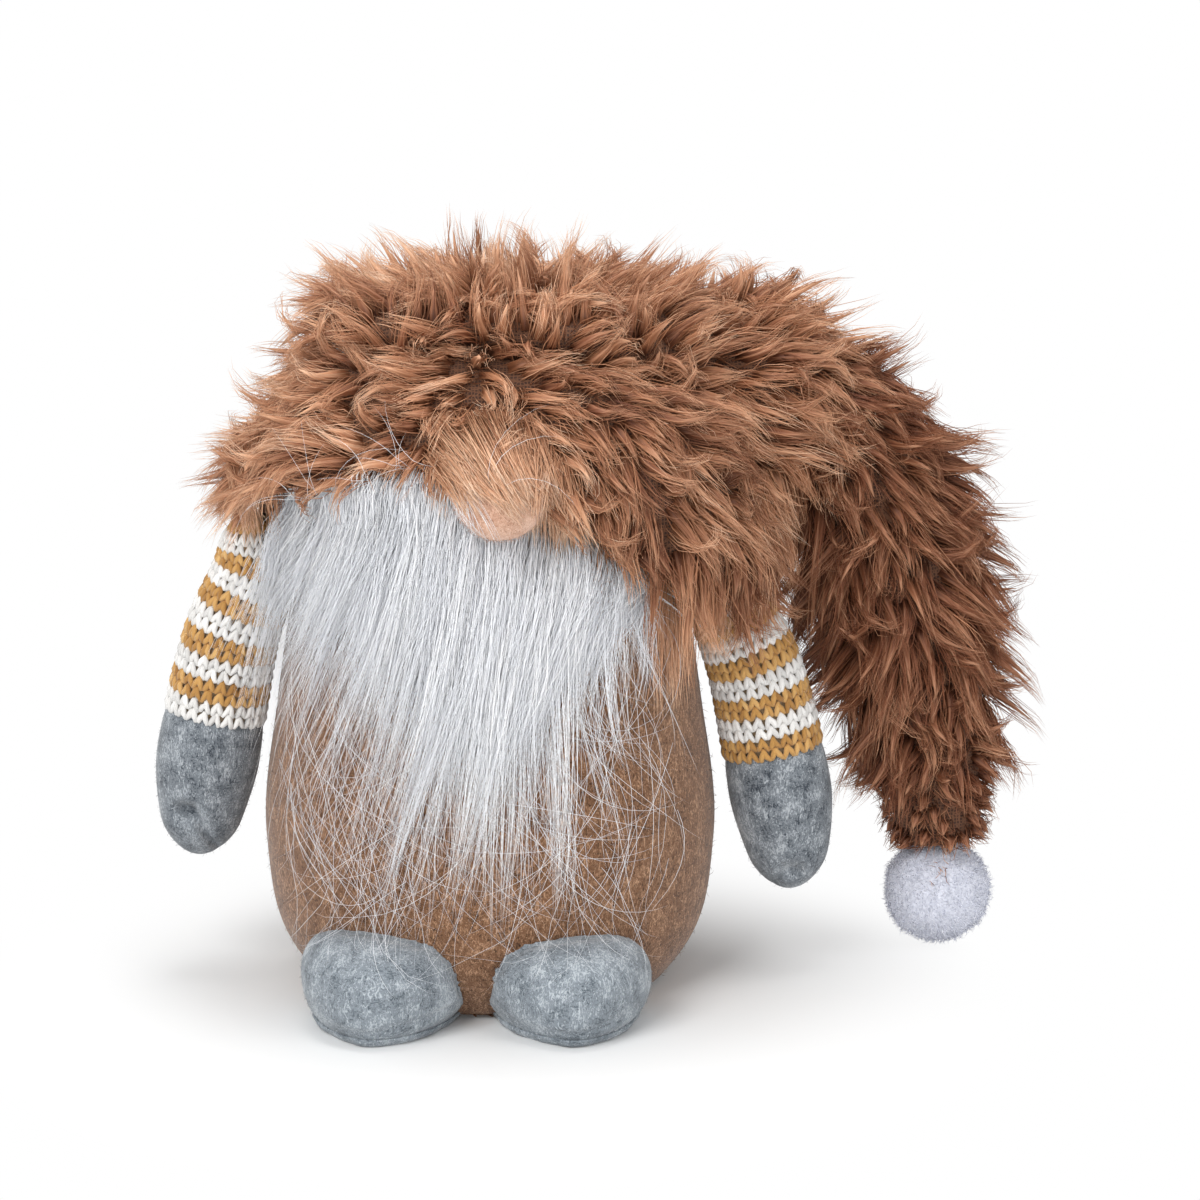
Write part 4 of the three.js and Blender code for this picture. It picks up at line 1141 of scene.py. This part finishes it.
HAT_BACKING = (tint(104, 68, 46), tint(56, 33, 22))
backing = knitted("hat_backing", {"Scale": 1200.0, "Randomness": 0.35}, 0.22, HAT_BACKING)
filled("hat_stuffing", "torso", filling_cloth, under(crown_form))
crown_cloth = link("hat_crown_cloth", crown_form, backing)
crown_cloth.modifiers.new("cloth", "SOLIDIFY").thickness = SHEET_THICKNESS

# Hat tail: the crown's cloth narrowed to a tube that folds over at the bend and hangs to its hem,
# sewn up along one side.
TAIL_BENDS = (BEND, (85.3, 15, 138.6), (98, 18.5, 116), (106, 20, 89), (111.8, 20, 58), (115, 20, 30))
TAIL_LINE = np.array(TAIL_BENDS)
TAIL_ROWS = ((0, 24.5), (0.3, 26), (0.5, 27), (0.78, 20), (0.93, 13.5), (1, 11))
TAIL_PILE_ROWS = ((0, 9), (0.5, 9), (0.8, 6), (0.93, 2.4), (1, 1))
steps_between = np.r_[0, np.cumsum(np.linalg.norm(np.diff(TAIL_LINE, axis=0), axis=1))]
tail_places = steps_between / steps_between[-1]


def tail_frame(share):
    """The tail's middle line at shares of its length, with the way it goes and two ways across it."""
    rows = np.c_[tail_places, TAIL_LINE]
    middle = smooth(rows, share)
    ahead = unit(smooth(rows, np.minimum(share + 0.01, 1)) - smooth(rows, np.maximum(share - 0.01, 0)))
    across = unit(np.cross(ahead, (0.0, 1, 0)))
    return middle, ahead, across, np.cross(across, ahead)


def tail_point(turn, share):
    """Points of the tail's cloth in millimetres. A turn of 0 faces the outer side."""
    middle, _, across, forward = tail_frame(share)
    fold = 1.2 * np.sin(4 * turn + 3 * share) * np.sin(np.pi * np.clip(share, 0, 1))
    radius = (smooth(TAIL_ROWS, share)[..., 0] - smooth(TAIL_PILE_ROWS, share)[..., 0] + fold)[..., None]
    turn = turn[..., None]
    return middle - across * radius * np.cos(turn) - forward * radius * 0.95 * np.sin(turn)


tail_cloth = link("hat_tail_cloth", tube(30, 40, tail_point), backing)
tail_cloth.modifiers.new("cloth", "SOLIDIFY").thickness = SHEET_THICKNESS

# Hat pile: acrylic fur some 18 mm long in pointed locks, combed up at the top, out at the sides and
# down over the brim, with single hairs between. Each hair is a closed tapered strand.
FUR_SEED = 7
LOCK_SPACING = 4.1
PILE_LENGTH = 18
PILE_DROOP = 1.2
PER_LOCK = 26
FUR_WIDTH = 0.25
HEART_SIDES = 10
FUR_EDGE = 140
PRESSED_IN = 0.45


def combed(places, guides, reach, background):
    """At each place, the mean of what nearby guides hold after their first three values, and background
    far from them."""
    guides = np.array(guides, float)
    apart = ((places[:, None] - guides[None, :, :3]) ** 2).sum(2)
    weights = np.c_[np.exp(-apart / (2 * reach**2)), np.full(len(places), 0.02)]
    values = np.concatenate([guides[None, :, 3:].repeat(len(places), 0), background[:, None]], 1)
    return (weights[:, :, None] * values).sum(1) / weights.sum(1)[:, None]


def laid(roots, normals, flow, lengths, lift, curl, keep_off, rng, count=8):
    """Paths of locks that leave the cloth at lift radians, lean along flow, sag and curl, and stay off
    the cloth."""
    flow = unit(flow - normals * (flow * normals).sum(1, keepdims=True))
    heading = unit(flow * np.cos(lift)[:, None] + normals * np.sin(lift)[:, None])
    axis = unit(np.cross(heading, normals) + 0.9 * rng.normal(size=roots.shape))
    path = [roots]
    for k in range(1, count):
        share = k / (count - 1)
        turned = np.cross(axis, heading) * (curl * share * 2 / count)[:, None]
        heading = unit(heading + turned + np.array((0, 0, -1.0)) * (PILE_DROOP * share / count))
        place = path[-1] + heading * (lengths / (count - 1))[:, None]
        for index, point in enumerate(place):
            near, facing, _, _ = keep_off.find_nearest(Vector(point), 12)
            if near is None:
                continue
            height = (Vector(point) - near).dot(facing)
            if height < 1 + 3 * share:
                place[index] += np.array(facing) * (1 + 3 * share - height)
        path.append(place)
    return np.stack(path, 1)


FUR_ROOTS = (tint(72, 38, 24), tint(134, 84, 55), tint(196, 148, 114))
FUR_MIDDLES = (tint(120, 70, 46), tint(196, 140, 104), tint(244, 202, 168))
FUR_TIPS = (tint(150, 98, 70), tint(226, 176, 140), tint(255, 232, 208))
fur = fibre("hat_fur", FUR_ROOTS, FUR_MIDDLES, FUR_TIPS, Roughness=0.5, Specular_IOR_Level=0.3)

# How the pile is combed: where on the hat, the way the locks go, their length and their lift.
FRONT_COMB = (
    (-47, 183, -0.3, 1, 20, 0.9), (-27, 184, -0.1, 1, 19, 0.9), (-2, 186, 0.05, 1, 19, 0.9),
    (28, 186, 0.0, 1, 19, 0.9), (53, 184, 0.25, 1, 22, 0.9), (68, 180, 0.6, 1, 23, 0.9),
    (80, 172, 0.9, 0.8, 22, 0.8), (-47, 172, -0.1, 1, 20, 0.55), (-20, 174, 0.0, 1, 20, 0.5),
    (8, 174, 0.05, 1, 20, 0.5), (35, 174, 0.1, 1, 20, 0.5), (-60, 168, -0.8, -0.3, 20, 0.6),
    (-58, 154, -0.5, -0.9, 19, 0.7), (-68, 144, -1, 0.0, 18, 0.7), (-66, 133, -0.9, -0.5, 17, 0.7),
    (-40, 154, -0.7, 0.1, 18, 0.5), (-45, 141, -0.95, -0.1, 18, 0.45), (-30, 146, -0.95, 0.1, 17, 0.45),
    (-16, 149, -0.9, 0.15, 15, 0.45), (-32, 160, -0.3, 0.8, 18, 0.6), (-12, 158, -0.9, 0.2, 18, 0.5),
    (2, 155, 0.5, -0.6, 18, 0.4), (-6, 146, -0.6, 0.1, 12, 0.5), (10, 146, 0.5, -0.7, 16, 0.35),
    (20, 138, 0.7, -0.4, 16, 0.4), (28, 150, 0.2, -0.9, 18, 0.5), (38, 143, 0.3, -0.9, 18, 0.5),
    (-10, 148, 0.6, -0.7, 19, 0.3), (4, 151, 0.55, -0.85, 23, 0.3), (13, 148, 0.8, -0.6, 22, 0.35),
    (26, 126, 0.5, -0.75, 19, 0.4), (32, 112, 0.1, -1, 23, 0.2), (40, 106, 0.0, -1, 29, 0.15),
    (50, 103, -0.1, -1, 30, 0.15), (62, 103, 0.0, -1, 26, 0.25), (42, 120, 0.1, -1, 24, 0.3),
    (54, 116, -0.1, -1, 24, 0.3), (66, 124, 0.2, -0.9, 20, 0.45), (58, 136, 0.7, 0.6, 18, 0.5),
    (54, 160, 1, 0.4, 19, 0.45), (64, 152, 1, -0.1, 20, 0.45), (80, 148, 0.9, -0.4, 20, 0.5),
    (90, 128, 0.7, -0.7, 20, 0.5), (96, 118, 0.5, -0.85, 20, 0.5), (42, 166, 0.3, 0.9, 19, 0.6),
    (18, 166, 0.3, 0.8, 18, 0.6),
)
# Where the pile lies short in a fold, toned darker there as painted shade: x, z and size
HOLLOWS = (
    (-32, 171, 5), (-11, 175, 6), (10, 172, 5), (-38, 163, 4), (25, 161, 6), (-17, 150, 4),
    (58, 140, 6), (40, 126, 4), (74, 112, 8),
)
fur_rng = np.random.default_rng(FUR_SEED)


def on_front(x, z):
    """A place on the hat's face."""
    side = math.sqrt(max(0.0, 1 - ((x - HAT_SHIFT) / HAT_HALF_WIDTH) ** 2))
    return (x, -48 * side, z)


guide_rows = [(*on_front(x, z), dx, 0, dz, length, lift) for x, z, dx, dz, length, lift in FRONT_COMB]
off_cloth = np.concatenate([fanned(piece.data)[0] for piece in (crown_cloth, tail_cloth, nose)])
off_faces = np.arange(len(off_cloth) * 3).reshape(-1, 3)
keep_off = BVHTree.FromPolygons(off_cloth.reshape(-1, 3).tolist(), off_faces.tolist(), all_triangles=True)

crown_roots, crown_normals = scatter(crown_cloth.data, LOCK_SPACING, fur_rng)
outer = np.linalg.norm(crown_roots - BEND, axis=1) > BEND_RADIUS - PILE_DEPTH - 1
outer &= np.linalg.norm(crown_roots - NOSE, axis=1) > NOSE_RADIUS
below_brim = (crown_roots[:, 0] < -4) & (crown_roots[:, 0] > -50) & (crown_roots[:, 1] < 0)
outer &= ~(below_brim & (crown_roots[:, 2] < smooth(BEARD_FLOW, crown_roots[:, 0])[:, 0] - 2))
crown_roots, crown_normals = crown_roots[outer], crown_normals[outer]
tail_roots, tail_normals = scatter(tail_cloth.data, LOCK_SPACING, fur_rng)
tail_middle = tail_frame(np.linspace(0, 1, 101))[0]
tail_share = np.argmin(((tail_roots[:, None] - tail_middle[None]) ** 2).sum(2), 1) / 100
outer = ~in_crown(tail_roots, PILE_DEPTH - 1)
outer &= np.linalg.norm(tail_roots - BEND, axis=1) > BEND_RADIUS - PILE_DEPTH
tail_roots, tail_normals, tail_share = tail_roots[outer], tail_normals[outer], tail_share[outer]
roots = np.r_[crown_roots, tail_roots]
normals = np.r_[crown_normals, tail_normals]
on_tail = np.r_[np.zeros(len(crown_roots), bool), np.ones(len(tail_roots), bool)]
share = np.r_[np.zeros(len(crown_roots)), tail_share]

# Away from those places, locks fall outwards and down the crown, stand on its top, and follow the tail.
outwards = unit((roots - (HAT_SHIFT, 0, 0)) * (1, 1, 0))
downwards = np.array((0, 0, -1.0))
topness = np.clip((roots[:, 2] - 168) / 8, 0, 1)
background = np.zeros((len(roots), 5))
background[:, :3] = outwards * (0.5 + 0.5 * topness[:, None]) + downwards * (1 - topness[:, None])
background[:, 3] = PILE_LENGTH
background[:, 4] = 0.6 + 0.5 * topness
sideways = np.abs(normals[:, 0]) * (share < 0.88)
background[on_tail, :3] = (tail_frame(share)[1] + (0.5 + 0.35 * sideways[:, None]) * normals)[on_tail]
background[on_tail, 3] = smooth(((0, 19), (0.6, 19), (0.8, 14), (0.92, 6), (1, 4)), share[on_tail])[:, 0]
outer_longer = smooth(((0, 0), (0.3, 0), (0.6, 0.2), (0.8, 0.42), (1, 0.4)), share)[:, 0]
inner_longer = smooth(((0, 0.2), (0.3, 0.5), (0.6, 0.45), (0.8, 0.7), (1, 0.5)), share)[:, 0]
background[:, 3] *= 1 + np.where(normals[:, 0] > 0, outer_longer, inner_longer) * sideways * on_tail
background[on_tail, 4] = 0.85
field = combed(roots, guide_rows, 9, background)
field[on_tail] = background[on_tail] * 0.75 + field[on_tail] * 0.25
flow, lengths, lift = field[:, :3], field[:, 3], field[:, 4]
hollows = np.array([(*on_front(x, z), size) for x, z, size in HOLLOWS])
in_hollow = np.exp(-(((roots[:, None] - hollows[None, :, :3]) / hollows[None, :, 3:]) ** 2).sum(2) / 2).max(1)
noise.seed_set(FUR_SEED)
drift = np.array([noise.noise_vector(Vector(place / 13)) for place in roots])
upright = np.clip((roots[:, 2] - 166) / 8, 0, 1) * (roots[:, 1] < 0)
stray = (1 - 0.55 * upright)[:, None]
flow = unit(flow) + (0.2 * fur_rng.normal(size=flow.shape) + 0.75 * drift) * stray
lengths = lengths * fur_rng.uniform(0.65, 1.25, len(roots))
lift = lift + 0.22 * fur_rng.normal(size=len(roots))
lengths *= 1 - 0.35 * in_hollow
curl = np.abs(fur_rng.normal(size=len(roots))) * 2.2 * fur_rng.choice((-1, 1), len(roots)) * stray[:, 0]
guides = laid(roots - normals * 0.6, normals, flow, lengths, lift, curl, keep_off, fur_rng)

FUR_SHARES = np.array((0, 0.25, 0.52, 0.8, 1))
HEART_PLACES = np.array((0, 0.15, 0.3, 0.45, 0.66))
HEART_WIDTHS = np.array((1, 0.9, 0.65, 0.4, 0.15))
patches = np.array([noise.noise(Vector(place / 14)) for place in roots])
lock_tone = 0.5 + 0.11 * fur_rng.normal(size=len(roots)) + 0.3 * patches
# Painted shade: the front's locks from the middle to the right, below the top band, are toned darker.
lock_tone -= 0.15 * np.clip((roots[:, 0] + 5) / 35, 0, 1) * np.clip((178 - roots[:, 2]) / 12, 0, 1)
# Painted shade: locks in the hollows, and on the tail that hangs behind, are toned darker.
lock_tone -= 0.34 * in_hollow + 0.34 * on_tail * np.clip(share / 0.2, 0.3, 1)
lock_tone += 0.4 * np.exp(-(((roots - (4, -48, 138)) ** 2).sum(1)) / (2 * 12**2))


def fur_piece(name, mask, bodies, bend=None):
    """The locks of one part of the hat, riding on a body, or, given a bend, left unattached with their places
    baked in. Each lock has a dense heart, over which its single hairs lie. What reaches past the tail's outer
    edge is pressed in."""
    chosen = guides[mask]
    spread = np.full(len(chosen), LOCK_SPACING * 0.85)
    clump = fur_rng.uniform(0.05, 0.9, len(chosen)) ** (1 - 0.6 * upright[mask])
    paths, owner = grown(chosen, normals[mask], spread, PER_LOCK, clump, 0.6, FUR_SHARES, fur_rng, 0.5)
    paths[..., 0] -= PRESSED_IN * np.maximum(paths[..., 0] - FUR_EDGE, 0)
    tones = np.clip(lock_tone[mask][owner] + 0.13 * fur_rng.normal(size=len(paths)), 0, 1)
    hairs = strands(name, paths, tapered(len(paths), FUR_SHARES, FUR_WIDTH, fur_rng), tones, FUR_SHARES, fur)
    last = chosen.shape[1] - 1
    hearts = chosen[:, np.round(HEART_PLACES * last).astype(int)]
    heart_widths = np.outer(LOCK_SPACING * fur_rng.uniform(0.7, 0.95, len(chosen)), HEART_WIDTHS)
    heart_tones = np.clip(lock_tone[mask] - 0.1, 0.2, 1)
    heart = strands(name + "_hearts", hearts, heart_widths, heart_tones, FUR_SHARES, fur, HEART_SIDES, 0.35)
    for made in (hairs, heart):
        if bend:
            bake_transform(made)
        else:
            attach(made, bodies)


# Locks of the brim that are combed over the nose, and those that hang longest beside the beard:
# where each group starts and ends, in x and z
NOSE_FRINGE = (
    (-13, 144, -4, 134), (-11, 147, 1, 135), (-8, 150, 6, 135), (-4, 152, 10, 133), (0, 153, 13, 130),
    (4, 153, 16, 127), (8, 153, 18, 123), (12, 151, 19, 119), (15, 147, 16, 117), (18, 143, 23, 114),
)
BRIM_TAILS = ((20, 126, 24, 111), (27, 123, 29, 98), (33, 119, 36, 91), (39, 117, 42, 86), (44, 115, 47, 77))
OVER_SLEEVES = {
    "left": ((50, 113, 52, 81), (57, 110, 58, 87), (64, 109, 63, 96)),
    "right": ((-60, 139, -58, 116), (-54, 141, -55, 124)),
}


def face_at(x, z):
    """How far back the cloth, the nose or the chest lies at x and z, in millimetres."""
    hit = keep_off.ray_cast(Vector((x, -200, z)), Vector((0, 1, 0)))[0]
    chest = float(on_chest(x, z, 0.0)[1])
    return min(hit.y, chest) if hit else chest


def laid_by_hand(name, groups, each, scatter_by, spread, tone, arched):
    """Locks that go down before the hat, from where each group starts to where it ends, and stand off
    it by arched."""
    laid_guides = []
    for start_x, start_z, end_x, end_z in groups:
        for _ in range(each):
            first, last = fur_rng.normal(size=(2, 2)) * scatter_by
            arch, way = arched * fur_rng.uniform(0.5, 1.3), []
            for part in np.linspace(0, 1, 8):
                x = start_x + first[0] + (end_x - start_x + last[0]) * part
                z = start_z + first[1] + (end_z - start_z + last[1]) * part
                way.append((x, face_at(x, z) - 1 - arch * math.sin(math.pi * (0.1 + 0.8 * part)), z))
            laid_guides.append(way)
    laid_guides = np.array(laid_guides)
    for _ in range(2):
        laid_guides[:, 1:-1] = (laid_guides[:, :-2] + laid_guides[:, 1:-1] * 2 + laid_guides[:, 2:]) / 4
    clump = fur_rng.uniform(0.2, 0.8, len(laid_guides))
    spreads = np.full(len(laid_guides), spread)
    ahead = np.array(((0, -1.0, 0),))
    paths, owner = grown(laid_guides, ahead, spreads, PER_LOCK, clump, 0.6, FUR_SHARES, fur_rng)
    tones = tone + 0.08 * fur_rng.normal(size=len(laid_guides))[owner]
    tones = tones + 0.12 * fur_rng.normal(size=len(paths))
    widths = tapered(len(paths), FUR_SHARES, FUR_WIDTH, fur_rng)
    made = strands(name, paths, widths, np.clip(tones, 0, 1), FUR_SHARES, fur)
    return made


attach(laid_by_hand("crown_fur_over_nose", NOSE_FRINGE, 6, 1.8, 2.6, 0.72, 4.5), "torso")
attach(laid_by_hand("crown_fur_brim_tails", BRIM_TAILS, 7, 2.4, 3.4, 0.56, 2.6), "torso")
for side, groups in OVER_SLEEVES.items():
    over_sleeve = laid_by_hand(f"crown_fur_over_{side}_sleeve", groups, 7, 2.4, 3.4, 0.56, 1.2)
    x, z = SHOULDERS[side]
    start, end = (x * MM, -0.03, (z + 8) * MM), (x * MM, -0.015, (z - 6) * MM)
    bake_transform(over_sleeve)
    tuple(start)
    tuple(end)

# White hairs of the beard that cross the nose's side
count = 34
over_start = beard_rng.uniform((-13, 139), (-3, 147), (count, 2))
over_end = beard_rng.uniform((-6, 114), (6, 124), (count, 2))
bowed = 2.5 * beard_rng.normal(size=(count, 1)) * np.sin(math.pi * steps)
x = over_start[:, :1] + (over_end - over_start)[:, :1] * steps + bowed
z = over_start[:, 1:] + (over_end - over_start)[:, 1:] * steps
y = np.array([[face_at(*place) - 1.2 for place in zip(*way)] for way in zip(x, z)])
for _ in range(3):
    y[:, 1:-1] = np.minimum(y[:, 1:-1], (y[:, :-2] + y[:, 2:]) / 2)
nose_hairs = strands(
    "nose_hairs",
    np.stack([x, y, z], -1),
    tapered(count, LONG_SHARES, 0.11, beard_rng, 3),
    shades(0.6, 0.2, count, beard_rng),
    LONG_SHARES,
    white_hair,
)
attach(nose_hairs, "torso")

turn = np.degrees(np.arctan2(roots[:, 1], roots[:, 0] - HAT_SHIFT)) % 360
near_bend = ~on_tail & (np.linalg.norm(roots - BEND, axis=1) < BEND_RADIUS)
crown = ~on_tail & ~near_bend
on_top = crown & (topness > 0.6)
TAIL_BEND = {"start": (0.070, 0.011, 0.150), "end": (0.094, 0.016, 0.128)}
fur_piece("crown_fur_top", on_top, "torso")
# Parts of the crown's side, by the turns at which they start and end, in degrees from +X
CROWN_SIDES = (
    ("front", 215, 275),
    ("front_left", 275, 350),
    ("right", 140, 215),
    ("back_left", 350, 60),
    ("back", 60, 140),
)
for name, first, last in CROWN_SIDES:
    between = (turn > first) & (turn <= last) if first < last else (turn > first) | (turn <= last)
    fur_piece(f"crown_fur_{name}", crown & ~on_top & between, "torso")
fur_piece("bend_fur", near_bend, ("torso", "hat_tail"), TAIL_BEND)
fur_piece("tail_fur_upper", on_tail & (share < 0.5), ("torso", "hat_tail"), TAIL_BEND)
fur_piece("tail_fur_lower", on_tail & (share >= 0.5), "hat_tail")
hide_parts("hat_crown")
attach(crown_cloth, "torso")
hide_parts("hat_tail")
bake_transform(tail_cloth)

# Pompom: a ball of short white yarn ends tied in its middle, which hangs from the hem by a twisted
# thread of two plies.
POMPOM = np.array((115.0, 20, 15.5))
POMPOM_RADIUS = 13.2
POMPOM_SEED = 61
SHED_FIBRES = 12
THREAD_SPAN = (25.5, 33)
THREAD_TURNS = 3
THREAD_STEPS = 26
PLY_RADIUS = 0.39
PLY_OFFSET = 0.36
FLUFF = (tint(188, 191, 204), tint(218, 220, 232), tint(242, 243, 250))
fluff = fibre("white_fluff", FLUFF, FLUFF, FLUFF, Roughness=0.9)
FLUFF_HEART = (tint(178, 181, 194), tint(232, 234, 244))
fluff_lumps = {"Scale": 900.0, "Detail": 3.0}
fluff_ball = textured("fluff_heart", "TexNoise", fluff_lumps, FLUFF_HEART, 0.7, 0.6, Roughness=0.95)
pompom = link("pompom_heart", ball(POMPOM, POMPOM_RADIUS, 0.9, 4.5), fluff_ball)
pompom_rng = np.random.default_rng(POMPOM_SEED)
ends = fuzz("pompom_ends", *scatter(pompom.data, 0.62, pompom_rng), 1.7, 0.2, fluff, pompom_rng, 1.0)
shed_facing = unit(pompom_rng.normal(size=(SHED_FIBRES, 3)) * 0.16 + np.array((-0.05, -0.8, 0.55)))
shed = fuzz("pompom_shed_fur", POMPOM + shed_facing * 14.2, shed_facing, 2.2, 0.22, fur, pompom_rng, 0.1)
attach(shed, "pompom")
thread_shares = np.linspace(0, 1, THREAD_STEPS)
thread_turn = np.array((0, math.pi))[:, None] + thread_shares * THREAD_TURNS * 2 * math.pi
thread_height = np.linspace(*THREAD_SPAN, THREAD_STEPS)[None].repeat(2, 0)
off_middle = PLY_OFFSET * np.stack([np.cos(thread_turn), np.sin(thread_turn)], -1)
plies = np.concatenate([POMPOM[:2] + off_middle, thread_height[..., None]], -1)
ply_widths = np.full((2, THREAD_STEPS), 2 * PLY_RADIUS)
ply_tones = np.array((0.5, 0.6))
thread = strands("pompom_plies", plies, ply_widths, ply_tones, thread_shares, fluff, sides=8)
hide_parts("pompom")
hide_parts("pompom_thread")
for piece in (pompom, ends, thread):
    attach(piece, "pompom")
